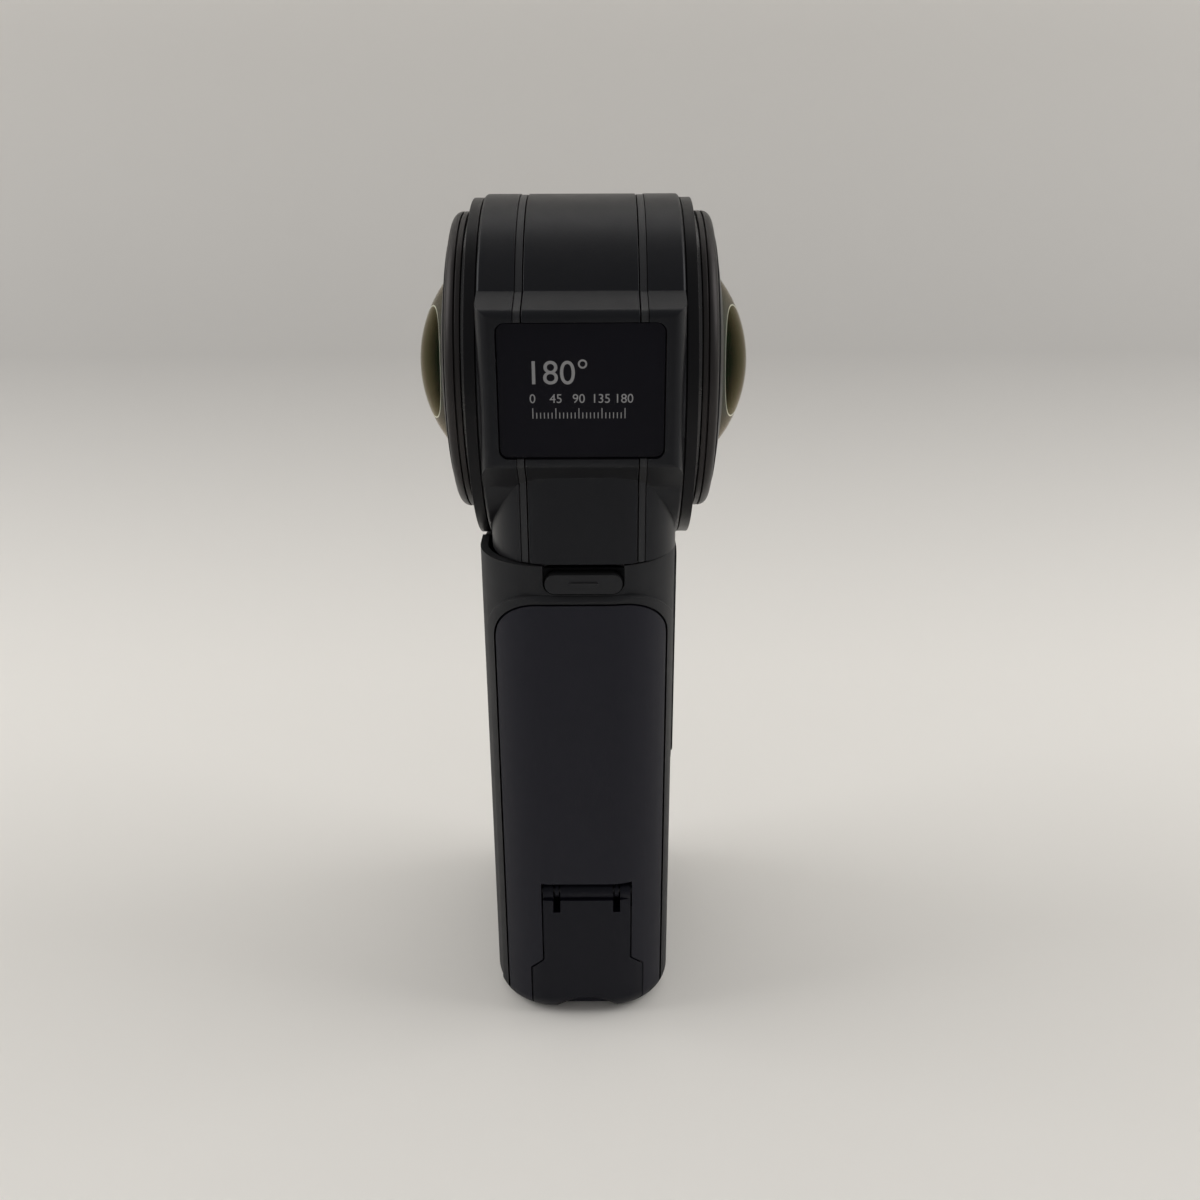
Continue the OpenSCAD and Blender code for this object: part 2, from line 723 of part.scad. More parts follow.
// Block with round upright edges and a rounded bottom edge
module rounded_base_block(x0, x1, y0, y1, r, h, f) {
    module wall_profile() {
        translate([0, f]) square([r, h - f]);
        square([r - f, h]);
        translate([r - f, f]) circle(f);
    }
    box(x0 + r, x1 - r, y0 + r, y1 - r, 0, h);
    translate([x1 - r, y1 - r, 0]) rotate_extrude(angle = 90) wall_profile();
    translate([x0 + r, y1 - r, 0]) rotate([0, 0, 90]) rotate_extrude(angle = 90) wall_profile();
    translate([x0 + r, y0 + r, 0]) rotate([0, 0, 180]) rotate_extrude(angle = 90) wall_profile();
    translate([x1 - r, y0 + r, 0]) rotate([0, 0, 270]) rotate_extrude(angle = 90) wall_profile();
    for (k = [0, 2])
        translate([k == 0 ? x1 - r : x0 + r, (y0 + y1) / 2, 0])
            rotate([0, 0, 90 * k]) rotate([90, 0, 0])
                linear_extrude(y1 - y0 - 2 * r, center = true) wall_profile();
    for (k = [1, 3])
        translate([(x0 + x1) / 2, k == 1 ? y1 - r : y0 + r, 0])
            rotate([0, 0, 90 * k]) rotate([90, 0, 0])
                linear_extrude(x1 - x0 - 2 * r, center = true) wall_profile();
}

// Outer form of the head with neck and bezels, drawn in by a small distance
module head_form(inset) {
    r = body_r - inset;
    y_front = bezel_y - inset;
    y_root = body_r - bezel_root;
    rim_x = plate_w / 2 + bezel_rim;
    side_x = face_x - fit;
    rim_top = plate_z + plate_h / 2 + bezel_lip - inset;
    rim_low = plate_z - plate_h / 2 - bezel_lip;
    turn_top = 90 - bezel_slope;
    turn_low = 45;
    crown_top = [
        for (k = [0 : bezel_steps]) let (a = turn_top * k / bezel_steps)
            [y_front - bezel_crown * (1 - cos(a)), rim_top + bezel_crown * sin(a)]
    ];
    crown_low = [
        for (k = [0 : bezel_steps]) let (a = turn_low * (1 - k / bezel_steps))
            [y_front - bezel_crown * (1 - cos(a)), rim_low - bezel_crown * sin(a)]
    ];
    root_top = crown_top[bezel_steps][1] + (crown_top[bezel_steps][0] - y_root) * tan(bezel_slope);
    root_low = crown_low[0][1] - (crown_low[0][0] - y_root);
    side_round = [
        for (k = [0 : bezel_steps]) let (a = 90 * k / bezel_steps)
            [rim_x + (side_x - rim_x) * sin(a), y_front - bezel_fall * (1 - cos(a))]
    ];
    profile = concat([[y_root, root_low]], crown_low, crown_top, [[y_root, root_top]]);
    plan = concat(
        side_round, [[side_x, y_root], [-side_x, y_root]],
        [for (k = [0 : bezel_steps]) [-side_round[bezel_steps - k][0], side_round[bezel_steps - k][1]]]
    );
    intersection() {
        union() {
            turned(1, body_z) {
                translate([0, body_edge - face_x]) square([r, 2 * face_x - 2 * body_edge]);
                translate([0, -face_x]) square([r - body_edge, 2 * face_x]);
                for (s = [-1, 1])
                    translate([r - body_edge, s * (face_x - body_edge)]) circle(body_edge);
            }
            translate([0, 0, neck_z]) linear_extrude(body_z - neck_z)
                rounded_rect(neck_w, neck_d - 2 * inset, neck_r);
            for (s = [-1, 1])
                mirror([0, s < 0 ? 1 : 0, 0]) intersection() {
                    along_x(-side_x, side_x) polygon(profile);
                    translate([0, 0, neck_z]) linear_extrude(total_h - neck_z) polygon(plan);
                }
        }
        box(-far, far, -far, far, neck_z, total_h + over);
    }
}

// Hollow of the head
module head_cavity() {
    translate([0, 0, body_z]) rod_x(cavity_r, -cavity_x, cavity_x);
    translate([0, 0, neck_z - over]) linear_extrude(body_z - neck_z + over)
        rounded_rect(neck_w - 2 * head_wall, neck_d - 2 * head_wall, neck_r - head_wall);
}

// Pockets for the two window plates
module plate_pockets() {
    for (s = [-1, 1])
        translate([0, 0, plate_z])
            along_y(s > 0 ? pocket_y : -far, s > 0 ? far : -pocket_y)
                rounded_rect(plate_w + 2 * fit, plate_h + 2 * fit, plate_r + fit);
}

// Places of the head screws, turned about the round body's centre
module head_screw_places() {
    for (a = [20, 90, 160])
        translate([0, small_place_r * cos(a), body_z + small_place_r * sin(a)]) children();
}

module head_center_band() {
    color(shell_c) difference() {
        union() {
            difference() {
                intersection() {
                    head_form(0);
                    box(-band_x, band_x, -far, far, 0, total_h + over);
                }
                head_cavity();
            }
            for (s = [-1, 1])
                on_side(s) head_screw_places() rod_x(small_boss_r, band_x - small_bite - head_wall / 2, band_x);
        }
        head_screw_places() rod_x(small_screw_r + rest, -far, far);
        plate_pockets();
    }
}

module head_shell(side) {
    color(shell_c) difference() {
        union() {
            difference() {
                intersection() {
                    head_form(0);
                    on_side(side) box(shell_x0, far, -far, far, 0, total_h + over);
                }
                head_cavity();
            }
            on_side(side) head_screw_places() rod_x(small_boss_r, shell_x0, face_x - rest);
        }
        on_side(side) head_screw_places() {
            rod_x(small_screw_r + fit, 0, far);
            rod_x(small_head_r + fit, face_x - rest - small_head_t - rest, far);
        }
        on_side(side) translate([0, 0, lens_z]) rod_x(lens_bore_r, 0, far);
        plate_pockets();
    }
}

module head_shell_left() { head_shell(-1); }
module head_shell_right() { head_shell(1); }

module trim_strip(side) {
    color(trim_c) difference() {
        intersection() {
            head_form(strip_sink);
            on_side(side) box(strip_x0, strip_x1, -far, far, 0, total_h + over);
        }
        head_cavity();
        plate_pockets();
    }
}

module trim_strip_left() { trim_strip(-1); }
module trim_strip_right() { trim_strip(1); }

module window_plate(side) {
    color(gloss_c) translate([0, 0, plate_z])
        along_y(side > 0 ? pocket_y : -pocket_y - plate_t, side > 0 ? pocket_y + plate_t : -pocket_y)
            rounded_rect(plate_w, plate_h, plate_r);
}

module window_plate_front() { window_plate(-1); }
module window_plate_back() { window_plate(1); }

// The flange ring follows the round body, its bore the lens axis
module flange_ring(side) {
    cut_r = flange_r - flange_cut;
    color(ring_c) difference() {
        turned(side, body_z) polygon([
            [0, face_x], [cut_r, face_x], [cut_r, face_x + seam], [flange_r, face_x + seam],
            [flange_r, flange_x - ring_edge], [flange_r - ring_edge, flange_x], [0, flange_x]
        ]);
        translate([0, 0, lens_z]) rod_x(ring_in_r, -far, far);
    }
}

module flange_ring_left() { flange_ring(-1); }
module flange_ring_right() { flange_ring(1); }

module trim_ring(side) {
    color(bright_c) turned(side, lens_z) polygon([
        [ring_in_r, flange_x], [trim_r, flange_x], [trim_r, trim_x], [ring_in_r, trim_x]
    ]);
}

module trim_ring_left() { trim_ring(-1); }
module trim_ring_right() { trim_ring(1); }

module guard_ring(side) {
    spigot_x = face_x + seal_d + rest;
    crown_x = groove_x + groove_w;
    crown_h = guard_x - ring_edge / 2 - crown_x;
    color(ring_c) turned(side, lens_z) polygon(concat(
        [
            [guard_in_r, spigot_x], [spigot_r, spigot_x], [spigot_r, trim_x],
            [guard_r - ring_edge, trim_x], [guard_r, trim_x + ring_edge], [guard_r, groove_x],
            [guard_r - groove_d, groove_x], [guard_r - groove_d, crown_x]
        ],
        [for (a = [0 : 15 : 90]) [guard_r - guard_crown * (1 - cos(a)), crown_x + crown_h * sin(a)]],
        [[guard_in_r + ring_edge, guard_x], [guard_in_r, guard_x - ring_edge]]
    ));
}

module guard_ring_left() { guard_ring(-1); }
module guard_ring_right() { guard_ring(1); }

module lens_retainer(side) {
    foot_x = face_x + barrel_flange + rest;
    lip_x = glass_x(aperture_r) + lip_gap;
    color(ring_c) turned(side, lens_z) polygon([
        [retainer_in_r, foot_x], [retainer_r, foot_x], [retainer_r, guard_x],
        [retainer_r - ring_edge, guard_x + ring_edge], [aperture_r + lip_w, lip_x + lip_t],
        [aperture_r, lip_x + lip_t], [aperture_r, lip_x], [retainer_in_r, glass_x(retainer_in_r) + lip_gap]
    ]);
}

module lens_retainer_left() { lens_retainer(-1); }
module lens_retainer_right() { lens_retainer(1); }

module front_lens(side) {
    color(glass_c) turned(side, lens_z) difference() {
        intersection() {
            translate([0, seat_x]) square([glass_r, far]);
            translate([0, tip_x - dome_r]) circle(dome_r);
        }
        translate([0, hollow_c]) circle(hollow_r);
    }
}

module front_lens_left() { front_lens(-1); }
module front_lens_right() { front_lens(1); }

module inner_lens(side) {
    r = inner_d / 2 - rest;
    sag = inner_r - sqrt(inner_r * inner_r - r * r);
    color(glass_c) turned(side, lens_z) intersection() {
        translate([0, inner_seat_x]) square([r, far]);
        translate([0, inner_seat_x + inner_rim + sag - inner_r]) circle(inner_r);
    }
}

module inner_lens_left() { inner_lens(-1); }
module inner_lens_right() { inner_lens(1); }

module lens_barrel(side) {
    bore = inner_d / 2;
    waist_r = barrel_out_r - barrel_wall;
    waist_x = cavity_x - barrel_wall / 2;
    flange_top = face_x + barrel_flange;
    color(rubber_c) turned(side, lens_z) polygon([
        [bore - lens_shelf, barrel_rear_x], [waist_r, barrel_rear_x], [waist_r, waist_x - barrel_wall],
        [barrel_out_r, waist_x], [barrel_out_r, face_x], [retainer_r, face_x], [retainer_r, flange_top],
        [barrel_out_r, flange_top], [barrel_out_r, seat_x - rest], [bore + mouth_edge, seat_x - rest],
        [bore, seat_x - rest - mouth_edge], [bore, inner_seat_x - rest], [bore - lens_shelf, inner_seat_x - rest]
    ]);
}

module lens_barrel_left() { lens_barrel(-1); }
module lens_barrel_right() { lens_barrel(1); }

module lens_seal(side) {
    color(rubber_c) turned(side, lens_z)
        translate([(guard_in_r + spigot_r) / 2, face_x + seal_d / 2]) circle(seal_d / 2);
}

module lens_seal_left() { lens_seal(-1); }
module lens_seal_right() { lens_seal(1); }

module sensor_board(side) {
    half_w = sensor_board_w / 2;
    half_h = sensor_board_h / 2;
    on_side(side) translate([0, 0, lens_z]) {
        color(board_c) box(sensor_board_x, sensor_x, -half_w, half_w, -half_h, half_h);
        color(gloss_c) box(sensor_x, sensor_x + sensor_t, -sensor_w / 2, sensor_w / 2, -sensor_h / 2, sensor_h / 2);
        color(metal_c) box(sensor_x, sensor_x + board_t, -half_w + board_t, -half_w + 3 * board_t,
            -half_h / 2, half_h / 2);
    }
}

module sensor_board_left() { sensor_board(-1); }
module sensor_board_right() { sensor_board(1); }

module heat_spreader() {
    foot = spreader_foot / 2;
    plug_half = plug_d / 2 + plug_collar + 5 * fit;
    floor_z = plate_floor_z + rest;
    color(metal_c) {
        difference() {
            union() {
                translate([0, 0, body_z]) rod_x(cavity_r - spreader_margin, -spreader_x, spreader_x);
                box(-spreader_x, spreader_x, -foot, foot, floor_z, body_z);
            }
            box(-far, far, -far, far, 0, floor_z);
            box(-far, far, plug_y - plug_half, plug_y + plug_half, 0, plug_top + 5 * fit);
        }
        for (sy = [-1, 1], sz = [-1, 1])
            translate([0, sy * (sensor_board_w / 2 - 2 * board_t), lens_z + sz * (sensor_board_h / 2 - 2 * board_t)])
                rod_x(small_screw_r + board_t / 2, -sensor_board_x, sensor_board_x);
    }
}

// Outline of the plug between head and grip, grown by a gap
module plug_outline(grow) {
    translate([0, plug_y]) square([plug_w + 2 * grow, plug_d + 2 * grow], center = true);
}

module neck_plate() {
    margin = head_wall + fit;
    color(shell_c) translate([0, 0, neck_z]) linear_extrude(head_wall) difference() {
        rounded_rect(neck_w - 2 * margin, neck_d - 2 * margin, neck_r - margin);
        plug_outline(fit);
    }
}

module head_plug() {
    color(gold_c) {
        translate([0, 0, core_top - plug_reach]) linear_extrude(plug_top - core_top + plug_reach) plug_outline(0);
        translate([0, 0, plate_floor_z + rest]) linear_extrude(plug_rise - rest) plug_outline(plug_collar);
    }
}

module head_screws() {
    head_x = face_x - rest;
    color(metal_c) for (s = [-1, 1])
        on_side(s) head_screw_places() difference() {
            union() {
                rod_x(small_screw_r, band_x - small_bite, head_x - small_head_t + join);
                rod_x(small_head_r, head_x - small_head_t, head_x);
            }
            rod_x(small_head_r / 2, head_x - drive_depth, far);
        }
}

// Outer form of the sleeve: the grip with the raised border of the panel
module sleeve_form() {
    border_top = panel_top + panel_gap + border_w;
    border_r = panel_r + border_w;
    bx0 = panel_left - panel_gap - border_w;
    bx1 = min(panel_right + panel_gap + border_w, grip_right - join);
    rounded_base_block(grip_left, grip_right, -front_y, front_y, grip_r, grip_h, base_round);
    intersection() {
        translate([0, -panel_raise, 0])
            rounded_base_block(grip_left, grip_right, -front_y, front_y, grip_r, border_top, base_round);
        union() {
            hull() {
                along_y(-front_y - join, -front_y) edge_rect(bx0, bx1, -far, border_top, border_r);
                along_y(-panel_y - join, -panel_y)
                    edge_rect(bx0 + border_bevel, bx1 - border_bevel, -far, border_top - border_bevel,
                        border_r - border_bevel);
            }
            along_y(-front_y, -front_y + grip_r) edge_rect(bx0, bx1, -far, border_top, border_r);
        }
    }
}

// Outline of the panel with room around it
module panel_outline(grow) {
    edge_rect(panel_left - grow, panel_right + grow, -far, panel_top + grow, panel_r + grow);
}

// Plan of the main unit inside the sleeve, drawn in by a wall
module core_plan(inset) {
    intersection() {
        edge_rect(inner_left + 2 * fit + inset, core_right - inset, -core_back + inset, core_back - inset,
            core_corner - inset);
        translate([core_left + inset, core_front + inset]) square([far, core_back - core_front - 2 * inset]);
    }
}

module grip_screw_places() {
    for (s = [-1, 1], y = [screw_front, screw_back]) translate([grip_mid + s * screw_x, y, 0]) children();
}

// Places of the round buttons and the speaker on the grip's back
module back_place(z) {
    translate([grip_mid, 0, z]) children();
}

module speaker_holes() {
    back_place(speaker_z) {
        rod_y(speaker_hole_r, inner_y - over, front_y + over);
        for (a = [0 : 60 : 300])
            translate([speaker_ring_r * cos(a), 0, speaker_ring_r * sin(a)])
                rod_y(speaker_hole_r, inner_y - over, front_y + over);
    }
}

module grip_sleeve() {
    notch = release_w / 2 + release_gap;
    notch_h = release_h + 2 * release_gap;
    collar_z = bush_h - bush_collar_t - rest;
    color(shell_c) difference() {
        union() {
            difference() {
                sleeve_form();
                translate([0, 0, floor_t]) linear_extrude(far)
                    edge_rect(inner_left, inner_right, -inner_y, inner_y, inner_corner);
            }
            translate([0, 0, join]) cylinder(r = bush_r + bush_wall, h = bush_h - join);
            grip_screw_places() translate([0, 0, floor_t - join])
                cylinder(r = screw_r + screw_wall + 4 * fit, h = core_low - floor_t);
            for (y = [rib_front, rib_back])
                box(inner_left - join, core_left - fit, y - rib_w / 2, y + rib_w / 2, floor_t - join,
                    grip_h - rib_drop);
        }
        intersection() {
            along_y(-far, core_front - core_gap / 2) panel_outline(panel_gap);
            box(-far, far, -far, far, floor_t, far);
        }
        along_y(-far, -panel_y + lip_d + panel_gap) panel_outline(panel_gap);
        along_y(-far, -inner_y + over) {
            translate([-notch, release_low + release_h / 2]) square([2 * notch, far]);
            edge_rect(-notch, notch, release_low - release_gap, release_top + release_gap, notch_h / 2 - tiny);
        }
        along_x(inner_right - over, far)
            edge_rect(-screen_w / 2 - 2 * fit, screen_w / 2 + 2 * fit, screen_z - 2 * fit, far, screen_r + 2 * fit);
        translate([0, 0, body_z]) rod_x(flange_r + 5 * fit, -far, core_left - core_step);
        translate([0, 0, -over]) cylinder(r = bush_r + rest, h = far);
        translate([0, 0, collar_z]) cylinder(r = bush_r + bush_collar + fit, h = far);
        grip_screw_places() {
            translate([0, 0, -over]) cylinder(r = screw_head_r + 2 * fit, h = over + screw_sink + screw_head_t);
            translate([0, 0, -over]) cylinder(r = screw_r + 1.5 * fit, h = far);
        }
        back_place(shutter_z) rod_y(shutter_r + button_gap, inner_y - over, far);
        back_place(power_z) rod_y(power_r + button_gap, inner_y - over, far);
        speaker_holes();
    }
}

module tripod_bush() {
    color(gold_c) difference() {
        union() {
            translate([0, 0, fit]) cylinder(r = bush_r, h = bush_h - fit);
            translate([0, 0, bush_h - bush_collar_t]) cylinder(r = bush_r + bush_collar, h = bush_collar_t);
        }
        translate([0, 0, -over]) cylinder(r = bush_bore_r, h = far);
        translate([0, 0, fit - join])
            cylinder(r1 = bush_bore_r + bush_edge + join, r2 = bush_bore_r, h = bush_edge + join);
    }
}

module grip_screws() {
    color(metal_c) grip_screw_places() difference() {
        union() {
            translate([0, 0, screw_sink]) cylinder(r = screw_head_r, h = screw_head_t);
            translate([0, 0, screw_sink + join]) cylinder(r = screw_r, h = core_low + screw_bite - screw_sink - join);
        }
        translate([0, 0, -over]) cylinder(r = screw_head_r / 2, h = over + screw_sink + drive_depth, $fn = 6);
    }
}

module core_housing() {
    switch_ends = [power_z - switch_post_end, shutter_z + switch_post_end];
    hole_grow = button_flange + button_gap;
    color(shell_c) difference() {
        union() {
            difference() {
                translate([0, 0, core_low]) linear_extrude(core_top - core_low) core_plan(0);
                translate([0, 0, core_low + core_wall]) linear_extrude(core_top - core_low - 2 * core_wall)
                    core_plan(core_wall);
            }
            grip_screw_places() translate([0, 0, core_low + join])
                cylinder(r = screw_r + screw_wall, h = screw_bite + core_wall / 2);
            for (z = [core_low + post_end, core_top - post_end], y = [core_front + post_front, core_back - post_back])
                translate([0, y, z]) rod_x(post_r, core_left + core_wall - join, main_x - rest);
            for (s = [-1, 1], z = switch_ends)
                back_place(z) translate([s * switch_post_x, 0, 0])
                    rod_y(switch_post_r, switch_y + rest, core_back - core_wall + join);
        }
        box(core_right - core_wall - over, far, cover_y0 - fit, cover_y1 + fit, cover_z0 - fit, cover_z1 + fit);
        translate([0, 0, core_top - 2 * core_wall]) linear_extrude(far) plug_outline(2 * fit);
        grip_screw_places() cylinder(r = screw_r + rest, h = core_low + screw_bite + rest);
        back_place(shutter_z) rod_y(shutter_r + hole_grow, core_back - core_wall - over, far);
        back_place(power_z) rod_y(power_r + hole_grow, core_back - core_wall - over, far);
        back_place(speaker_z) rod_y(speaker_ring_r + 2 * speaker_hole_r, core_back - core_wall - over, far);
        contact_places() rod_y(pin_tip_r + fit, core_front - over, core_front + core_wall + over);
        box(card_x - fit, card_x + card_t + fit, core_front - over, core_front + core_wall + over,
            card_z - fit, card_z + card_w + fit);
    }
}

module core_cover() {
    color(shell_c) box(core_right - core_wall, core_right, cover_y0, cover_y1, cover_z0, cover_z1);
}

// Block on the main board: drop is from the main unit's top to its middle
module board_block(x0, x1, y0, w, drop, h) {
    box(x0, x1, y0, y0 + w, core_top - drop - h / 2, core_top - drop + h / 2);
}

module main_board() {
    back_x = main_x + board_t - join;
    chip_y = main_y + post_front + post_r;
    color(board_c) box(main_x, main_x + board_t, main_y, switch_y - 2 * switch_board_t,
        core_low + board_margin, core_top - board_margin);
    color(gloss_c) {
        board_block(main_x - chip_t, main_x + join, chip_y, chip_w, chip_drop, chip_w);
        board_block(main_x - memory_t, main_x + join, chip_y, memory_w, memory_drop, memory_h);
        board_block(back_x, back_x + memory_t, chip_y, memory_w, memory_drop, memory_h);
    }
    color(metal_c) board_block(back_x, back_x + can_t, main_y + post_front, can_w, can_drop, can_h);
}

module heat_sink() {
    left = core_left + core_wall;
    pad_w = chip_w - board_t;
    pad_y = main_y + post_front + post_r + board_t / 2;
    color(metal_c) {
        board_block(left + rest, left + sink_t, core_front + post_front,
            core_back - core_front - post_front - post_back, sink_drop, sink_h);
        board_block(left + sink_t - join, main_x - chip_t - rest, pad_y, pad_w, chip_drop, pad_w);
    }
}

module card_socket() {
    y0 = main_y + fit;
    color(metal_c) difference() {
        box(main_x + board_t, card_x + card_t + card_wall, y0, y0 + card_l, card_z - 2 * card_wall,
            card_z + card_w + 2 * card_wall);
        box(card_x - fit, card_x + card_t + fit, y0 - over, y0 + card_l - over, card_z - fit, card_z + card_w + fit);
    }
}

module memory_card() {
    color(gloss_c) box(card_x, card_x + card_t, core_front + fit, core_front + fit + card_l, card_z, card_z + card_w);
}

// Places of the spring contacts and of the battery's contacts
module contact_places() {
    for (k = [0 : pin_count - 1]) translate([pin_x, 0, pin_z + pin_pitch * (k - (pin_count - 1) / 2)]) children();
}

module contact_pins() {
    inside_y = core_front + core_wall + rest;
    color(gold_c) contact_places() {
        rod_y(pin_tip_r, battery_back + fit + pin_tip_gap, inside_y + pin_collar_l);
        rod_y(pin_collar_r, inside_y, inside_y + pin_collar_l);
    }
}

module speaker() {
    face_y = core_back - core_wall - rest;
    color(rubber_c) back_place(speaker_z) {
        rod_y(speaker_r, face_y - speaker_t, face_y);
        rod_y(magnet_r, face_y - speaker_t - magnet_t, face_y - speaker_t + join);
    }
}

// Outline of the screen's frame, drawn in by a border
module screen_outline(inset, r) {
    half = screen_w / 2 - inset;
    edge_rect(-half, half, screen_z + inset, screen_top - inset, r);
}

module display_frame() {
    color(shell_c) difference() {
        along_x(screen_frame_x, screen_x - glass_proud) screen_outline(0, screen_r);
        along_x(screen_seat_x, far) screen_outline(screen_border, screen_r - screen_border + 2 * fit);
        along_x(screen_frame_x + screen_floor, far) screen_outline(screen_inset, fit);
    }
}

module display_panel() {
    color(gloss_c) along_x(screen_frame_x + screen_floor + rest, screen_seat_x - rest)
        screen_outline(screen_inset + fit, fit);
}

module display_glass() {
    color(gloss_c) along_x(screen_seat_x + rest, screen_x)
        screen_outline(screen_border + fit, screen_r - screen_border + fit);
}

module round_button(r, z) {
    flange_y = inner_y - button_gap;
    stem_y = switch_y + switch_h + button_travel + fit;
    color(trim_c) back_place(z) {
        rod_y(r, flange_y - join, front_y + button_proud);
        rod_y(r + button_flange, flange_y - button_flange_t, flange_y);
        rod_y(stem_r, stem_y, flange_y - button_flange_t + join);
    }
}

module shutter_button() { round_button(shutter_r, shutter_z); }
module power_button() { round_button(power_r, power_z); }

module button_board() {
    color(board_c) box(grip_mid - switch_board_half, grip_mid + switch_board_half, switch_y - switch_board_t,
        switch_y, power_z - switch_board_end, shutter_z + switch_board_end);
    color(metal_c) for (z = [power_z, shutter_z])
        back_place(z) rod_y(switch_r, switch_y - join, switch_y + switch_h);
}

module release_button() {
    half = release_w / 2;
    mark_z = release_low + release_h / 2;
    cap_back = -front_y + front_wall - release_gap;
    stem_low = release_low + release_gap + 2 * fit;
    stem_half = half - release_h / 2 + release_gap;
    slider_back = slider_y + slider_t;
    color(trim_c) {
        along_y(-release_face, cap_back) edge_rect(-half, half, release_low, release_top, release_h / 2 - tiny);
        along_y(-release_face - mark_t, -release_face + join)
            edge_rect(-mark_w / 2, mark_w / 2, mark_z - mark_h / 2, mark_z + mark_h / 2, mark_h / 2 - tiny);
        box(-stem_half, stem_half, cap_back - join, slider_y + join, stem_low, slider_top - release_gap);
        box(-slider_w / 2, slider_w / 2, slider_y, slider_back, release_low, slider_top);
        box(-tooth_w / 2, tooth_w / 2, slider_back - join, slider_back + tooth_d, panel_top + tooth_gap, stem_low);
    }
}

module release_spring() {
    foot_z = slider_top + rest;
    rise = neck_z - rest - foot_z;
    arc_r = (spring_half * spring_half + rise * rise) / (2 * rise);
    color(metal_c) intersection() {
        translate([0, 0, foot_z + rise - arc_r])
            along_y(slider_y + 2 * fit, slider_y + slider_t - fit) difference() {
                circle(arc_r);
                circle(arc_r - spring_t);
            }
        box(-spring_half, spring_half, -far, far, foot_z, far);
    }
}

// Solid of the battery pack with the curved panel as its front
module battery_form() {
    intersection() {
        translate([0, -panel_raise, 0])
            rounded_base_block(grip_left, grip_right, -front_y, front_y, grip_r, panel_top + over, base_round);
        along_y(-far, battery_back) panel_outline(0);
        union() {
            box(-far, far, -far, far, body_low, far);
            box(-far, far, -far, -panel_y + lip_d, panel_low, far);
        }
    }
}

// Outline of the port door, grown by a gap
module door_outline(grow) {
    w = door_w / 2 + grow;
    f = foot_w / 2 + grow;
    s = grow * (sqrt(2) - 1);
    polygon([
        [-w, hinge_z], [-w, shoulder_z + s], [-f, foot_z + s], [-f, -over], [f, -over],
        [f, foot_z + s], [w, shoulder_z + s], [w, hinge_z]
    ]);
}

// Box with its two upper edges rounded
module round_top_box(x0, x1, y0, y1, z0, z1, r) {
    intersection() {
        box(x0, x1, y0, y1, z0, z1);
        along_y(-far, far) edge_rect(x0, x1, -far, z1, r);
    }
}

// Hollow of the battery case, open at the back
module case_hollow() {
    box(cell_left, cell_right, bay_back, battery_back + over, case_low, cell_low - case_wall);
    round_top_box(cell_left, cell_right, cell_front, battery_back + over, cell_low, case_top, case_round);
    round_top_box(cell_left - case_extra, cell_right + case_extra, battery_back - case_wall - rest,
        battery_back + over, case_low, case_top, case_round);
}

module battery_case() {
    recess_half = door_w / 2 + door_gap;
    under_z = hinge_z - barrel_r - hinge_under;
    lug_back = hinge_y + barrel_r + door_gap;
    lug_w = slit_w - 2 * door_gap;
    pin_half = recess_half + pin_hold;
    color(shell_c) difference() {
        union() {
            difference() {
                battery_form();
                along_y(-far, door_in_y + door_gap) {
                    door_outline(door_gap);
                    translate([-recess_half, hinge_z - over])
                        square([2 * recess_half, recess_top - hinge_z + over]);
                }
                along_y(-far, lug_back)
                    translate([-recess_half, under_z]) square([2 * recess_half, recess_top - under_z]);
                along_y(-far, bay_floor_y) translate([0, bay_z]) rounded_rect(bay_w, bay_h, bay_r);
                case_hollow();
            }
            for (s = [-1, 1]) translate([s * (slit_x + slit_w / 2) - lug_w / 2, 0, 0]) {
                translate([0, hinge_y, hinge_z]) rod_x(lug_r, 0, lug_w);
                box(0, lug_w, hinge_y, lug_back + join, hinge_z - lug_r, hinge_z + lug_r);
            }
        }
        translate([0, hinge_y, hinge_z]) rod_x(pin_r, -pin_half, pin_half);
        along_y(bay_floor_y - over, bay_back + over) translate([0, bay_z])
            rounded_rect(socket_w + 2 * fit, socket_h + 2 * fit, socket_h / 2 + fit - tiny);
    }
}

module battery_lid() {
    color(shell_c) difference() {
        round_top_box(cell_left - case_extra + fit, cell_right + case_extra - fit, battery_back - case_wall,
            battery_back, case_low + fit, case_top - fit, case_round - fit);
        contact_places() rod_y(pin_collar_r + rest, battery_back - 2 * case_wall, far);
    }
}

module battery_contacts() {
    color(gold_c) contact_places() rod_y(pin_collar_r, battery_back - case_wall, battery_back + fit);
}

module battery_cell() {
    color(metal_c) box(cell_left + fit, cell_right - fit, cell_front + cell_room,
        battery_back - case_wall - 2 * cell_room, cell_low + fit, panel_top - cell_head);
}

module battery_board() {
    board_top = panel_top - battery_board_drop;
    y0 = cell_front + cell_room;
    color(board_c) box(cell_left + fit, cell_right - fit, y0, battery_back - case_wall - cell_room,
        board_top - board_t, board_top);
    color(gloss_c) box(grip_mid - memory_w / 2, grip_mid + memory_w / 2, y0 + board_t, y0 + board_t + memory_w / 2,
        board_top - join, board_top + memory_t);
}

module usb_socket() {
    y0 = bay_floor_y - cell_room;
    y1 = bay_back + socket_l;
    bore_h = socket_h - 2 * socket_wall;
    color(metal_c) translate([0, 0, bay_z]) {
        difference() {
            along_y(y0, y1) rounded_rect(socket_w, socket_h, socket_h / 2 - tiny);
            along_y(y0 - over, y1 - 2 * socket_wall)
                rounded_rect(socket_w - 2 * socket_wall, bore_h, bore_h / 2 - tiny);
        }
        box(-tongue_w / 2, tongue_w / 2, y0 + over, y1 - join, -tongue_t / 2, tongue_t / 2);
    }
}

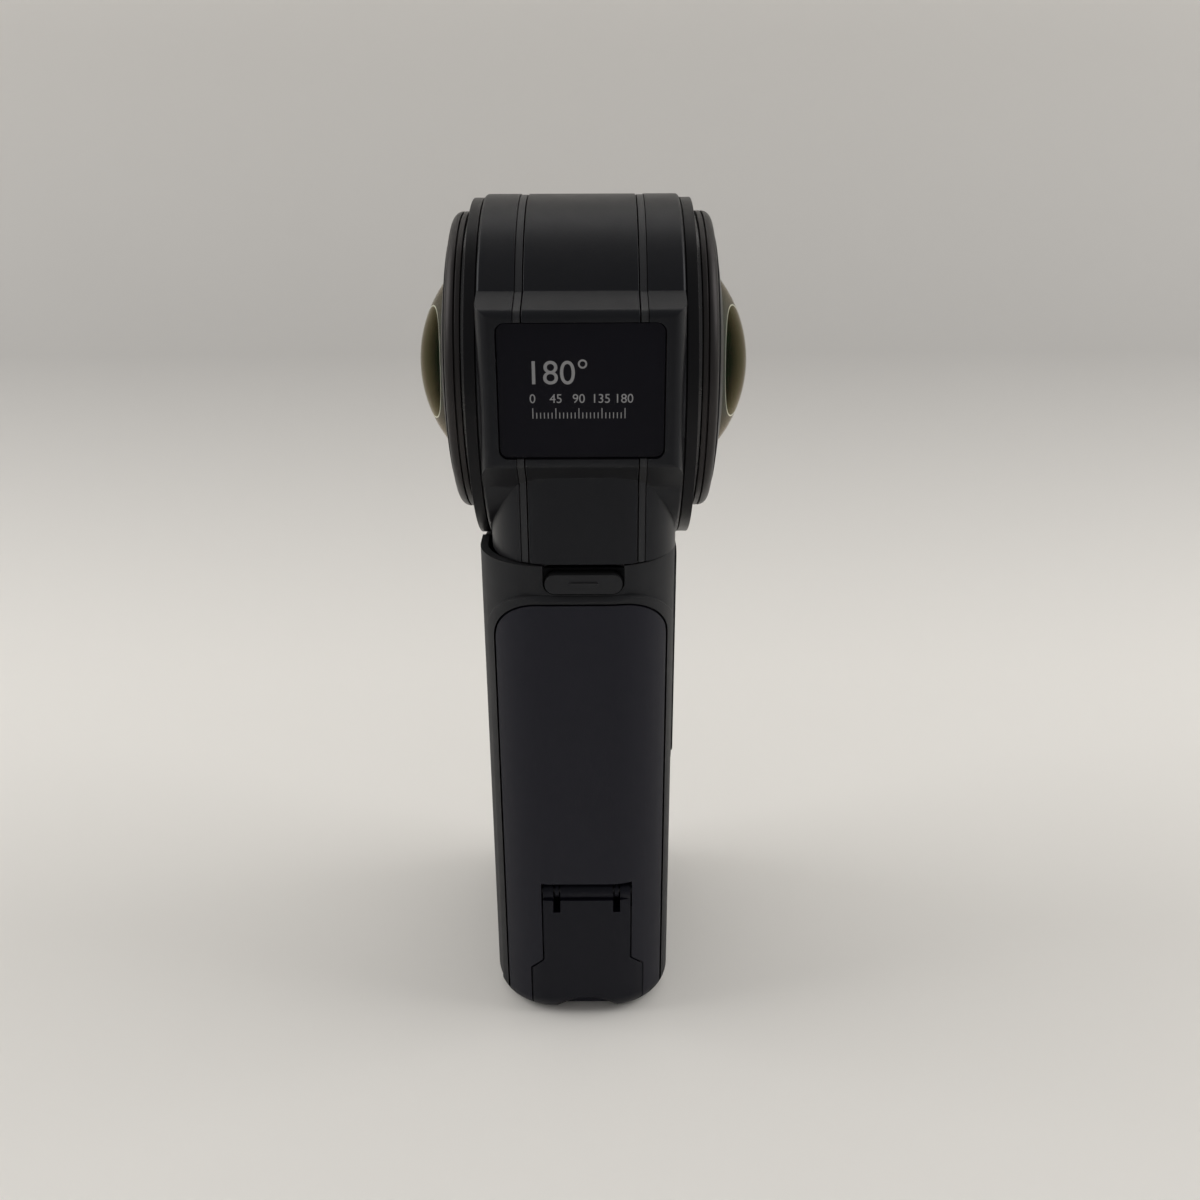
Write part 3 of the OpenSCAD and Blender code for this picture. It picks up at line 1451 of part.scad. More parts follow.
module usb_board() {
    board_top = bay_z - socket_h / 2 - rest;
    color(board_c) box(-usb_board_w / 2, usb_board_w / 2, bay_back + 2 * fit, battery_back - case_wall - cell_room,
        board_top - board_t, board_top);
}

module port_door() {
    color(shell_c) difference() {
        union() {
            intersection() {
                battery_form();
                along_y(-far, door_in_y) difference() {
                    door_outline(0);
                    translate([-far, hinge_z - leaf_drop]) square([2 * far, far]);
                }
            }
            translate([0, hinge_y, hinge_z]) rod_x(barrel_r, -door_w / 2, door_w / 2);
        }
        for (s = [-1, 1]) translate([s * (slit_x + slit_w / 2), 0, 0])
            box(-slit_w / 2, slit_w / 2, -far, far, slit_z, far);
        translate([0, hinge_y, hinge_z]) rod_x(pin_r + pin_room, -far, far);
        translate([0, -panel_y - scoop_out, panel_low - scoop_low]) sphere(r = scoop_r);
    }
}

module door_hinge_pin() {
    half = door_w / 2 + door_gap + pin_hold - fit;
    color(metal_c) translate([0, hinge_y, hinge_z]) rod_x(pin_r, -half, half);
}

module door_seal() {
    w = bay_w - 2 * seal_gap;
    h = bay_h - 2 * seal_gap;
    color(rubber_c) translate([0, 0, bay_z]) along_y(door_in_y, door_in_y + seal_w) difference() {
        rounded_rect(w, h, bay_r);
        rounded_rect(w - 2 * seal_w, h - 2 * seal_w, bay_r - seal_w + 5 * fit);
    }
}

head_center_band();
head_shell_left();
head_shell_right();
trim_strip_left();
trim_strip_right();
window_plate_front();
window_plate_back();
flange_ring_left();
flange_ring_right();
trim_ring_left();
trim_ring_right();
guard_ring_left();
guard_ring_right();
lens_retainer_left();
lens_retainer_right();
front_lens_left();
front_lens_right();
inner_lens_left();
inner_lens_right();
lens_barrel_left();
lens_barrel_right();
lens_seal_left();
lens_seal_right();
sensor_board_left();
sensor_board_right();
heat_spreader();
neck_plate();
head_plug();
head_screws();
grip_sleeve();
tripod_bush();
grip_screws();
core_housing();
core_cover();
main_board();
heat_sink();
card_socket();
memory_card();
contact_pins();
speaker();
display_frame();
display_panel();
display_glass();
shutter_button();
power_button();
button_board();
release_button();
release_spring();
battery_case();
battery_lid();
battery_cell();
battery_board();
battery_contacts();
usb_socket();
usb_board();
port_door();
door_hinge_pin();
door_seal();
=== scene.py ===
import json
import math

import bmesh
import bpy
from mathutils import Matrix, Vector


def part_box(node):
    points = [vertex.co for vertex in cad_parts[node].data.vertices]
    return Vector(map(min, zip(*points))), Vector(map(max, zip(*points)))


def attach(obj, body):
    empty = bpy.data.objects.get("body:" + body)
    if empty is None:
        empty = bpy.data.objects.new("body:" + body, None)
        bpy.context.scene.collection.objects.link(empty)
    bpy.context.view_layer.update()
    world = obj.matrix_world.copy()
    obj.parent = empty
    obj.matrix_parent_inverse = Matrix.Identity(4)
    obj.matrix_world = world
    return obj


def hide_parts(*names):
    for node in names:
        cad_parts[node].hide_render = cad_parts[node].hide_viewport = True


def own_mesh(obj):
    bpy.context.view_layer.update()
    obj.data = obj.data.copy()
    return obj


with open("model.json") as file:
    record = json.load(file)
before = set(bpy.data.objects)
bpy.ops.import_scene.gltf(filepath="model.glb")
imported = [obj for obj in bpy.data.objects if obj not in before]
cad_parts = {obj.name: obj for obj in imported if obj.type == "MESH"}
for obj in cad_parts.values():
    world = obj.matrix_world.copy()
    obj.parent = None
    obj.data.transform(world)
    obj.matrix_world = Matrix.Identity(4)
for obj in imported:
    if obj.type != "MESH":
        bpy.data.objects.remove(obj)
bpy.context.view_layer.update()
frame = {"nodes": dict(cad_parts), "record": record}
nodes = frame["nodes"]
slot_of = {entry["node"]: entry["material_slot"] for entry in frame["record"]["subparts"]}
MM = 0.001
BODY = "camera_body"


def new_object(name, data):
    item = bpy.data.objects.new(name, data)
    bpy.context.collection.objects.link(item)
    return item


def new_mesh(name, points, faces):
    mesh = bpy.data.meshes.new(name)
    mesh.from_pydata(points, [], faces)
    return mesh


# Camera at the photograph's angle, fitted to a square frame, with lengths in metres unless named otherwise
CAMERA_PLACE = (2.35 * MM, -183.05 * MM, 143.93 * MM)
CAMERA_PITCH_DEG = 23.26
CAMERA_ROLL_DEG = -0.25
SENSOR_MM = 36.0
FOCAL_MM = 36.0
CLIP_NEAR = 5 * MM
CLIP_FAR = 10.0


def make_camera():
    data = bpy.data.cameras.new("photo_camera")
    data.sensor_width = SENSOR_MM
    data.lens = FOCAL_MM
    data.clip_start = CLIP_NEAR
    data.clip_end = CLIP_FAR
    camera = new_object("photo_camera", data)
    camera.location = CAMERA_PLACE
    camera.rotation_mode = "ZXY"
    camera.rotation_euler = (math.radians(90 - CAMERA_PITCH_DEG), 0, math.radians(CAMERA_ROLL_DEG))
    bpy.context.scene.camera = camera


# Materials, with noise scales per metre and bump depths in metres
NOISE_LOW = 0.3
NOISE_HIGH = 0.7
COOL_SHEEN = (0.86, 0.9, 1.0, 1)
PLASTIC_CLOUDS = 90
PLASTIC_SMEARS = 400
PLASTIC_GRAIN = 4500
PLASTIC_SPREAD = 0.02
PLASTIC_DEPTH = 0.02 * MM
METAL_CLOUDS = 150
METAL_SMEARS = 900
METAL_GRAIN = 9000
METAL_SPREAD = 0.03
METAL_BUMP = 0.25
METAL_DEPTH = 0.008 * MM
COVER_CLOUDS = 60
COVER_SMEARS = 120
COVER_ROUGHNESS = (0.04, 0.1)
COVER_GLOSS = 0.1
GLASS_TINT = (0.82, 0.86, 0.75, 1)
GLASS_IOR = 1.3
GLASS_SMEARS = 200
GLASS_ROUGHNESS = (0.0, 0.02)
COATING_NM = 168.0
COATING_IOR = 1.14
BOARD_DARK = (0.01, 0.09, 0.04)
BOARD_LIGHT = (0.02, 0.16, 0.07)
BOARD_CLOUDS = 900
BOARD_RELIEF = 1500
BOARD_ROUGHNESS = 0.35
BOARD_BUMP = 0.4
BOARD_DEPTH = 0.03 * MM

# Dish of a lens, with radii in millimetres and the tints of its middle and its rim: painted shade in the
# middle and paler olive painted light at the rim
PUPIL_R = 5.2
DISH_RIM = 6.7
PUPIL_SHADE_TINT = (0.004, 0.016, 0.006)
OLIVE_LIGHT_TINT = (0.13, 0.142, 0.082)
DISH_ROUGHNESS = 0.5


def new_material(name):
    material = bpy.data.materials.new(name)
    material.use_nodes = True
    return material, material.node_tree, material.node_tree.nodes["Principled BSDF"]


def noise(tree, scale, detail=2):
    place = tree.nodes.new("ShaderNodeTexCoord")
    node = tree.nodes.new("ShaderNodeTexNoise")
    node.inputs["Scale"].default_value = scale
    node.inputs["Detail"].default_value = detail
    tree.links.new(place.outputs["Object"], node.inputs["Vector"])
    return node.outputs["Fac"]


def roughened(tree, shader, value, low, high):
    """Roughness that runs from low to high with a noise."""
    node = tree.nodes.new("ShaderNodeMapRange")
    node.inputs["From Min"].default_value = NOISE_LOW
    node.inputs["From Max"].default_value = NOISE_HIGH
    node.inputs["To Min"].default_value = low
    node.inputs["To Max"].default_value = high
    tree.links.new(value, node.inputs["Value"])
    tree.links.new(node.outputs["Result"], shader.inputs["Roughness"])


def bumped(tree, shader, height, strength, depth):
    node = tree.nodes.new("ShaderNodeBump")
    node.inputs["Strength"].default_value = strength
    node.inputs["Distance"].default_value = depth
    tree.links.new(height, node.inputs["Height"])
    tree.links.new(node.outputs["Normal"], shader.inputs["Normal"])


def tinted(tree, shader, dark, light, value):
    node = tree.nodes.new("ShaderNodeMix")
    node.data_type = "RGBA"
    node.inputs["A"].default_value = (*dark, 1)
    node.inputs["B"].default_value = (*light, 1)
    tree.links.new(value, node.inputs["Factor"])
    tree.links.new(node.outputs["Result"], shader.inputs["Base Color"])


def moulded_plastic(name, dark, light, roughness, grain=0.6, gloss=0.25):
    """Spark-textured plastic: fine grain, faint clouding and uneven gloss."""
    material, tree, shader = new_material(name)
    tinted(tree, shader, dark, light, noise(tree, PLASTIC_CLOUDS, 3))
    smears = noise(tree, PLASTIC_SMEARS, 3)
    roughened(tree, shader, smears, roughness - PLASTIC_SPREAD, roughness + PLASTIC_SPREAD)
    bumped(tree, shader, noise(tree, PLASTIC_GRAIN), grain, PLASTIC_DEPTH)
    shader.inputs["Specular IOR Level"].default_value = gloss
    shader.inputs["Specular Tint"].default_value = COOL_SHEEN
    return material


def satin_metal(name, dark, light, roughness):
    """Bead-blasted, dyed metal."""
    material, tree, shader = new_material(name)
    shader.inputs["Metallic"].default_value = 1.0
    tinted(tree, shader, dark, light, noise(tree, METAL_CLOUDS, 3))
    smears = noise(tree, METAL_SMEARS)
    roughened(tree, shader, smears, roughness - METAL_SPREAD, roughness + METAL_SPREAD)
    bumped(tree, shader, noise(tree, METAL_GRAIN), METAL_BUMP, METAL_DEPTH)
    return material


def gloss_black(name, dark, light):
    """Polished black cover with faint smears in its gloss."""
    material, tree, shader = new_material(name)
    tinted(tree, shader, dark, light, noise(tree, COVER_CLOUDS))
    roughened(tree, shader, noise(tree, COVER_SMEARS, 4), *COVER_ROUGHNESS)
    shader.inputs["Specular IOR Level"].default_value = COVER_GLOSS
    return material


def lens_glass(name):
    """Coated optical glass."""
    material, tree, shader = new_material(name)
    shader.inputs["Base Color"].default_value = GLASS_TINT
    shader.inputs["Transmission Weight"].default_value = 1.0
    shader.inputs["IOR"].default_value = GLASS_IOR
    shader.inputs["Thin Film Thickness"].default_value = COATING_NM
    shader.inputs["Thin Film IOR"].default_value = COATING_IOR
    roughened(tree, shader, noise(tree, GLASS_SMEARS, 3), *GLASS_ROUGHNESS)
    return material


def lens_dish_light_and_shade(name):
    """Hollow of a lens with painted light and shade: painted shade deep in the middle, paler olive painted
    light towards its rim.
    """
    material, tree, shader = new_material(name)
    place = tree.nodes.new("ShaderNodeTexCoord")
    shift = tree.nodes.new("ShaderNodeMapping")
    low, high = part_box("front_lens_right")
    shift.inputs["Location"].default_value = (0, 0, -(low.z + high.z) / 2)
    shift.inputs["Scale"].default_value = (0, 1, 1)
    tree.links.new(place.outputs["Object"], shift.inputs["Vector"])
    radius = tree.nodes.new("ShaderNodeVectorMath")
    radius.operation = "LENGTH"
    tree.links.new(shift.outputs["Vector"], radius.inputs[0])
    climb = tree.nodes.new("ShaderNodeMapRange")
    climb.interpolation_type = "SMOOTHSTEP"
    climb.inputs["From Min"].default_value = PUPIL_R * MM
    climb.inputs["From Max"].default_value = DISH_RIM * MM
    tree.links.new(radius.outputs["Value"], climb.inputs["Value"])
    # Painted shade in the middle of the dish, rising to paler olive painted light at its rim
    tinted(tree, shader, PUPIL_SHADE_TINT, OLIVE_LIGHT_TINT, climb.outputs["Result"])
    shader.inputs["Roughness"].default_value = DISH_ROUGHNESS
    shader.inputs["Specular IOR Level"].default_value = 0.0
    return material


def circuit_board(name):
    """Green solder mask with a slightly uneven surface."""
    material, tree, shader = new_material(name)
    tinted(tree, shader, BOARD_DARK, BOARD_LIGHT, noise(tree, BOARD_CLOUDS, 1))
    shader.inputs["Roughness"].default_value = BOARD_ROUGHNESS
    bumped(tree, shader, noise(tree, BOARD_RELIEF, 1), BOARD_BUMP, BOARD_DEPTH)
    return material


# Looks: dark tint, light tint and roughness, then a plastic's own grain and gloss where it has them
CHARCOAL_DARK = (0.0042, 0.0042, 0.0052)
CHARCOAL_LIGHT = (0.0062, 0.0062, 0.0074)
GRIP_DARK = (0.0078, 0.0074, 0.0125)
GRIP_LIGHT = (0.01, 0.0096, 0.0155)
SLEEVE_DARK = (0.0125, 0.0126, 0.0134)
SLEEVE_LIGHT = (0.0155, 0.0156, 0.0166)
SKIRT_DARK = (0.105, 0.11, 0.105)
SKIRT_LIGHT = (0.125, 0.13, 0.125)
looks = {
    "shell": moulded_plastic("shell_look", CHARCOAL_DARK, CHARCOAL_LIGHT, 0.36),
    "panel": moulded_plastic("panel_look", GRIP_DARK, GRIP_LIGHT, 0.5, 0.8),
    "sleeve": moulded_plastic("sleeve_look", SLEEVE_DARK, SLEEVE_LIGHT, 0.56),
    # The door's darker look is painted shade of the low front
    "door": moulded_plastic("door_look", (0.003, 0.0028, 0.006), (0.0045, 0.0043, 0.008), 0.38, 0.8, 0.2),
    "print": moulded_plastic("print_look", (0.26, 0.26, 0.27), (0.32, 0.32, 0.33), 0.5, 0.0),
    "inner_case": moulded_plastic("inner_case_look", (0.03, 0.03, 0.032), (0.04, 0.04, 0.043), 0.55),
    "trim": moulded_plastic("trim_look", (0.021, 0.021, 0.022), (0.027, 0.027, 0.0285), 0.38, 0.3),
    "button": moulded_plastic("button_look", (0.014, 0.014, 0.015), (0.018, 0.018, 0.019), 0.4, 0.4),
    "barrel": moulded_plastic("barrel_look", (0.004, 0.004, 0.0042), (0.006, 0.006, 0.0062), 0.5),
    "seal": moulded_plastic("seal_look", (0.008, 0.008, 0.008), (0.012, 0.012, 0.012), 0.7),
    "plug": moulded_plastic("plug_look", (0.012, 0.012, 0.012), (0.018, 0.018, 0.018), 0.3, 0.3),
    "ring": satin_metal("ring_look", (0.016, 0.016, 0.0175), (0.021, 0.021, 0.0225), 0.38),
    "guard": satin_metal("guard_look", (0.033, 0.031, 0.0315), (0.042, 0.0395, 0.04), 0.42),
    "bright_ring": satin_metal("bright_ring_look", (0.055, 0.055, 0.057), (0.07, 0.07, 0.072), 0.26),
    "spreader": satin_metal("spreader_look", (0.6, 0.6, 0.62), (0.7, 0.7, 0.72), 0.35),
    # The dark spring look also serves the door's hinge pin as painted shade
    "spring": satin_metal("spring_look", (0.04, 0.04, 0.042), (0.055, 0.055, 0.058), 0.4),
    "steel": satin_metal("steel_look", (0.45, 0.45, 0.47), (0.55, 0.55, 0.57), 0.3),
    "brass": satin_metal("brass_look", (0.55, 0.38, 0.14), (0.65, 0.46, 0.18), 0.3),
    "cell": satin_metal("cell_look", (0.4, 0.42, 0.45), (0.48, 0.5, 0.53), 0.4),
    "window": gloss_black("window_look", (0.003, 0.003, 0.0058), (0.0045, 0.0043, 0.0088)),
    "screen_glass": gloss_black("screen_glass_look", (0.005, 0.005, 0.006), (0.007, 0.007, 0.008)),
    "lens_glass": lens_glass("lens_glass_look"),
    "lens_dish_light_and_shade": lens_dish_light_and_shade("lens_dish_light_and_shade_look"),
    "lens_skirt": moulded_plastic("lens_skirt_look", SKIRT_DARK, SKIRT_LIGHT, 0.5, 0.0, 0.0),
    # The lens's pale rim line is a painted highlight
    "lens_glint_line": moulded_plastic("lens_glint_line_look", (0.85, 0.85, 0.8), (0.9, 0.9, 0.85), 0.5, 0.0, 0.0),
    "circuit": circuit_board("circuit_look"),
}

# Nodes whose look isn't their slot's; the door's hinge pin takes the dark spring look as painted shade, so
# that the hinge reads as a dark gap
NODE_LOOKS = {"door_hinge_pin": "spring", "grip_sleeve": "sleeve", "port_door": "door"}

# Edge roundings of the carried-over pieces, in millimetres
EDGE_WIDTHS = {
    "head_center_band": 0.12, "head_shell_left": 0.12, "head_shell_right": 0.12,
    "trim_strip_left": 0.08, "trim_strip_right": 0.08, "window_plate_front": 0.1, "window_plate_back": 0.1,
    "grip_sleeve": 0.14, "battery_case": 0.14, "port_door": 0.12, "release_button": 0.22,
    "shutter_button": 0.25, "power_button": 0.25, "display_frame": 0.12, "display_glass": 0.15,
}
EDGE_SEGMENTS = 3
SHARP_DEG = 28
FLAT_DEG = 0.3
WELD_GAP = 0.002


def round_edges(node, width):
    weld = node.modifiers.new("weld", "WELD")
    weld.merge_threshold = WELD_GAP * MM
    flat = node.modifiers.new("flat", "DECIMATE")
    flat.decimate_type = "DISSOLVE"
    flat.angle_limit = math.radians(FLAT_DEG)
    bevel = node.modifiers.new("bevel", "BEVEL")
    bevel.width = width * MM
    bevel.segments = EDGE_SEGMENTS
    bevel.limit_method = "ANGLE"
    bevel.angle_limit = math.radians(SHARP_DEG)
    bevel.miter_outer = "MITER_ARC"
    even = node.modifiers.new("even_normals", "WEIGHTED_NORMAL")
    even.keep_sharp = False


def dress_nodes():
    for name, node in nodes.items():
        for slot in node.material_slots:
            slot.material = looks[NODE_LOOKS.get(name, slot_of[name])]
        if name in EDGE_WIDTHS:
            round_edges(node, EDGE_WIDTHS[name])


# Turned pieces around the two lenses, as outlines of radius and distance from the middle, in millimetres
SEGMENTS = 192
AXIS_R = 1e-6
FILLET = 0.09
FILLET_STEPS = 4
FILLET_SHARE = 0.45
FLANGE_CUT = 0.4
FLANGE_SEAM = 0.15
RING_BORE = 20.6
FLANGE_BORE = RING_BORE + 2
GUARD_BORE = 19.3
RING_EDGE = 0.25
GROOVE_RISE = 0.7
GROOVE_W = 0.2
GROOVE_D = 0.5
GUARD_CROWN = 1.3
CROWN_STEP_DEG = 10
RETAINER_BORE = 14.1
APERTURE_R = 13.0
LIP_W = 0.45
LIP_T = 0.2
DOME_R = 19.5
DOME_ROWS = 40
DISH_RISE = 2.8
DISH_DEPTH = 5.0
DISH_ROWS = 48
RIM_LINE = 0.2


def filleted(outline):
    """A closed outline with its corners rounded."""
    rounded = []
    points = [Vector(point) for point in outline]
    for i, corner in enumerate(points):
        back = points[i - 1] - corner
        ahead = points[(i + 1) % len(points)] - corner
        cut = min(FILLET, FILLET_SHARE * back.length, FILLET_SHARE * ahead.length)
        start = corner + cut * back.normalized()
        end = corner + cut * ahead.normalized()
        for step in range(FILLET_STEPS + 1):
            t = step / FILLET_STEPS
            rounded.append((1 - t) ** 2 * start + 2 * t * (1 - t) * corner + t * t * end)
    return rounded


def dome_outline(tip_x, edge_r):
    """Points of radius and distance on the lens's sphere, from its tip out to a radius."""
    centre = tip_x - DOME_R
    rows = [edge_r * step / DOME_ROWS for step in range(DOME_ROWS + 1)]
    return [(r, centre + math.sqrt(max(DOME_R * DOME_R - r * r, 0))) for r in rows]


def turned_piece(name, node, outline, side, closed=True, row_looks=(), look=None):
    """An outline turned about the axis of the node that it stands for.

    row_looks are pairs of a first row and the look from there on.
    """
    low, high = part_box(node)
    centre_z = (low.z + high.z) / 2
    mesh_builder = bmesh.new()
    rings = []
    for r, x in outline:
        ring = []
        for k in range(SEGMENTS if r > AXIS_R else 1):
            turn = 2 * math.pi * k / SEGMENTS
            y = r * MM * math.cos(turn)
            z = centre_z + r * MM * math.sin(turn)
            ring.append(mesh_builder.verts.new((side * x * MM, y, z)))
        rings.append(ring)
    pairs = list(zip(rings, rings[1:]))
    if closed:
        pairs.append((rings[-1], rings[0]))
    for row, (one, two) in enumerate(pairs):
        for k in range(SEGMENTS):
            after = (k + 1) % SEGMENTS
            if len(one) == 1:
                face = mesh_builder.faces.new((one[0], two[after], two[k]))
            elif len(two) == 1:
                face = mesh_builder.faces.new((one[k], one[after], two[0]))
            else:
                face = mesh_builder.faces.new((one[k], one[after], two[after], two[k]))
            face.material_index = sum(row >= first for first, _ in row_looks)
    bmesh.ops.recalc_face_normals(mesh_builder, faces=mesh_builder.faces)
    mesh = bpy.data.meshes.new(name)
    mesh_builder.to_mesh(mesh)
    mesh_builder.free()
    mesh.polygons.foreach_set("use_smooth", [True] * len(mesh.polygons))
    mesh.materials.append(looks[look or slot_of[node]])
    for _, row_look in row_looks:
        mesh.materials.append(looks[row_look])
    piece = new_object(name, mesh)
    if closed:
        piece.modifiers.new("even_normals", "WEIGHTED_NORMAL")
    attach(piece, BODY)
    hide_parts(node)


def reach(node):
    """Outer radius and the distances of a right-hand node's two ends from the middle, in millimetres."""
    low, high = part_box(node)
    return (high.y - low.y) / 2 / MM, low.x / MM, high.x / MM


def make_lens_rings():
    flange_r, face_x, flange_x = reach("flange_ring_right")
    trim_r, _, trim_x = reach("trim_ring_right")
    guard_r, _, guard_x = reach("guard_ring_right")
    retainer_r, foot_x, lip_top = reach("lens_retainer_right")
    lens_r, seat_x, tip_x = reach("front_lens_right")
    groove_x = trim_x + GROOVE_RISE
    crown_x = groove_x + GROOVE_W
    crown_h = guard_x - RING_EDGE / 2 - crown_x
    crown = []
    for degrees in range(0, 91, CROWN_STEP_DEG):
        turn = math.radians(degrees)
        crown.append((guard_r - GUARD_CROWN * (1 - math.cos(turn)), crown_x + crown_h * math.sin(turn)))
    flange = [
        (FLANGE_BORE, face_x), (flange_r - FLANGE_CUT, face_x),
        (flange_r - FLANGE_CUT, face_x + FLANGE_SEAM), (flange_r, face_x + FLANGE_SEAM),
        (flange_r, flange_x), (FLANGE_BORE, flange_x),
    ]
    trim = [(RING_BORE, flange_x), (trim_r, flange_x), (trim_r, trim_x), (RING_BORE, trim_x)]
    guard = [
        (GUARD_BORE, trim_x), (guard_r, trim_x), (guard_r, groove_x), (guard_r - GROOVE_D, groove_x),
        (guard_r - GROOVE_D, crown_x), *crown, (GUARD_BORE, guard_x),
    ]
    retainer = [
        (RETAINER_BORE, foot_x), (retainer_r, foot_x), (retainer_r, guard_x + RING_EDGE),
        (APERTURE_R + LIP_W, lip_top), (APERTURE_R, lip_top), (APERTURE_R, lip_top - LIP_T),
    ]
    # The glass runs from the dome's tip over its edge and skirt to a pale rim line, a painted highlight,
    # and into the dish with its painted light and shade
    outside = dome_outline(tip_x, lens_r)
    rim_x = seat_x + DISH_RISE
    glass = outside + [(lens_r, seat_x), (DISH_RIM + RIM_LINE, rim_x)]
    for row in range(DISH_ROWS + 1):
        share = 1 - row / DISH_ROWS
        glass.append((DISH_RIM * share, rim_x - DISH_DEPTH * (1 - share ** 2)))
    skirt = len(outside) - 1
    glass_looks = ((skirt, "lens_skirt"), (skirt + 2, "lens_glint_line"), (skirt + 3, "lens_dish_light_and_shade"))
    for side, word in ((-1, "left"), (1, "right")):
        turned_piece("lens_flange_" + word, "flange_ring_" + word, filleted(flange), side)
        turned_piece("lens_trim_" + word, "trim_ring_" + word, filleted(trim), side)
        turned_piece("lens_guard_" + word, "guard_ring_" + word, filleted(guard), side, look="guard")
        turned_piece("lens_lip_" + word, "lens_retainer_" + word, filleted(retainer), side)
        turned_piece("lens_dome_" + word, "front_lens_" + word, glass, side, False, glass_looks)


# Arched leaf spring above the release button, in millimetres, built in its resting arch; the real spring
# flattens as the button slides up
LEAF_T = 0.2
LEAF_STEPS = 48


def make_release_leaf():
    low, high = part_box("release_spring")
    half = (high.x - low.x) / 2
    middle = (high.x + low.x) / 2
    rise = high.z - low.z
    outer_r = (half * half + rise * rise) / (2 * rise)
    inner_r = outer_r - LEAF_T * MM
    outer_turn = math.asin(half / outer_r)
    inner_turn = math.acos(outer_r * math.cos(outer_turn) / inner_r)
    centre_z = high.z - outer_r
    points = []
    for step in range(LEAF_STEPS + 1):
        share = 2 * step / LEAF_STEPS - 1
        for r, turn in ((outer_r, outer_turn * share), (inner_r, inner_turn * share)):
            for y in (low.y, high.y):
                points.append((middle + r * math.sin(turn), y, centre_z + r * math.cos(turn)))
    faces = []
    corners = (0, 1, 3, 2)
    for step in range(LEAF_STEPS):
        first = 4 * step
        for one, two in zip(corners, corners[1:] + corners[:1]):
            faces.append((first + one, first + two, first + 4 + two, first + 4 + one))
    faces.append(corners[::-1])
    faces.append(tuple(4 * LEAF_STEPS + corner for corner in corners))
    mesh = new_mesh("release_leaf", points, faces)
    mesh.materials.append(looks["spring"])
    leaf = new_object("release_leaf", mesh)
    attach(leaf, BODY)
    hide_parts("release_spring")
    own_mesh(leaf)


# Dark sheet behind the side screen, which closes the clearance around it with painted shade, in millimetres
SHADE_SHEET_T = 0.04
SHADE_SHEET_GAP = 0.015
SHADE_SHEET_IN = 1.2
SHADE_SHEET_OUT = 0.3
SHADE_SHEET_TOP = 0.15


def make_screen_shade_sheet():
    low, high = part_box("display_frame")
    hole = SHADE_SHEET_IN * MM
    edge = SHADE_SHEET_OUT * MM
    top = high.z + SHADE_SHEET_TOP * MM
    outer = [
        (low.y - edge, low.z - edge), (high.y + edge, low.z - edge),
        (high.y + edge, top), (low.y - edge, top),
    ]
    inner = [
        (low.y + hole, low.z + hole), (high.y - hole, low.z + hole),
        (high.y - hole, high.z - hole), (low.y + hole, high.z - hole),
    ]
    front = low.x - SHADE_SHEET_GAP * MM
    # Points 0 to 3 are outer and 4 to 7 inner on the grip's side, 8 to 11 and 12 to 15 on the screen's side
    points = [(x, y, z) for x in (front - SHADE_SHEET_T * MM, front) for y, z in outer + inner]
    faces = []
    for k in range(4):
        n = (k + 1) % 4
        faces += [
            (k, 4 + k, 4 + n, n), (8 + k, 8 + n, 12 + n, 12 + k),
            (k, n, 8 + n, 8 + k), (4 + k, 12 + k, 12 + n, 4 + n),
        ]
    mesh = new_mesh("screen_shade_sheet", points, faces)
    # The sheet is dark so that the clearance around the screen shows painted shade
    mesh.materials.append(looks["seal"])
    shade_sheet = new_object("screen_shade_sheet", mesh)
    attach(shade_sheet, BODY)


# Plain numbers and a tick scale on the front plate, in millimetres
PRINT_LEFT = -6.5
PRINT_RIGHT = 5.8
PRINT_LIFT = 0.01
TICK_W = 0.12
TICK_LOW = 102.9
TICK_TALL = 1.4
TICK_SHORT = 0.8
TICK_COUNT = 25
TICKS_PER_STEP = 6
STEP_WORDS = ("0", "45", "90", "135", "180")
STEP_LOW = 105.0
STEP_H = 1.2
ANGLE_WORDS = "180\u00b0"
ANGLE_LOW = 107.5
ANGLE_H = 3.3


def put_on_plate(name, mesh):
    mesh.materials.append(looks["print"])
    piece = new_object(name, mesh)
    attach(piece, BODY)


def print_y():
    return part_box("window_plate_front")[0].y - PRINT_LIFT * MM


def tick_x(k):
    return PRINT_LEFT + (PRINT_RIGHT - PRINT_LEFT) * k / (TICK_COUNT - 1)


def print_words(name, words, x, low_z, cap_h, centred):
    """Flat characters scaled to a height, with their middle or their left end at x."""
    curve = bpy.data.curves.new(name, "FONT")
    curve.body = words
    maker = new_object(name, curve)
    bpy.context.view_layer.update()
    mesh = bpy.data.meshes.new_from_object(maker.evaluated_get(bpy.context.evaluated_depsgraph_get()))
    bpy.data.objects.remove(maker)
    lows = [min(vertex.co[k] for vertex in mesh.vertices) for k in range(2)]
    highs = [max(vertex.co[k] for vertex in mesh.vertices) for k in range(2)]
    scale = cap_h * MM / (highs[1] - lows[1])
    start = (lows[0] + highs[0]) / 2 if centred else lows[0]
    mesh.transform(Matrix.Translation((-start, -lows[1], 0)))
    mesh.transform(Matrix.Rotation(math.radians(90), 4, "X") @ Matrix.Scale(scale, 4))
    mesh.transform(Matrix.Translation((x * MM, print_y(), low_z * MM)))
    put_on_plate(name, mesh)


def print_ticks():
    points = []
    faces = []
    for k in range(TICK_COUNT):
        x = tick_x(k)
        tall = TICK_TALL if k % TICKS_PER_STEP == 0 else TICK_SHORT
        first = len(points)
        for side, z in ((-1, TICK_LOW), (1, TICK_LOW), (1, TICK_LOW + tall), (-1, TICK_LOW + tall)):
            points.append(((x + side * TICK_W / 2) * MM, print_y(), z * MM))
        faces.append(tuple(range(first, first + 4)))
    put_on_plate("plate_ticks", new_mesh("plate_ticks", points, faces))


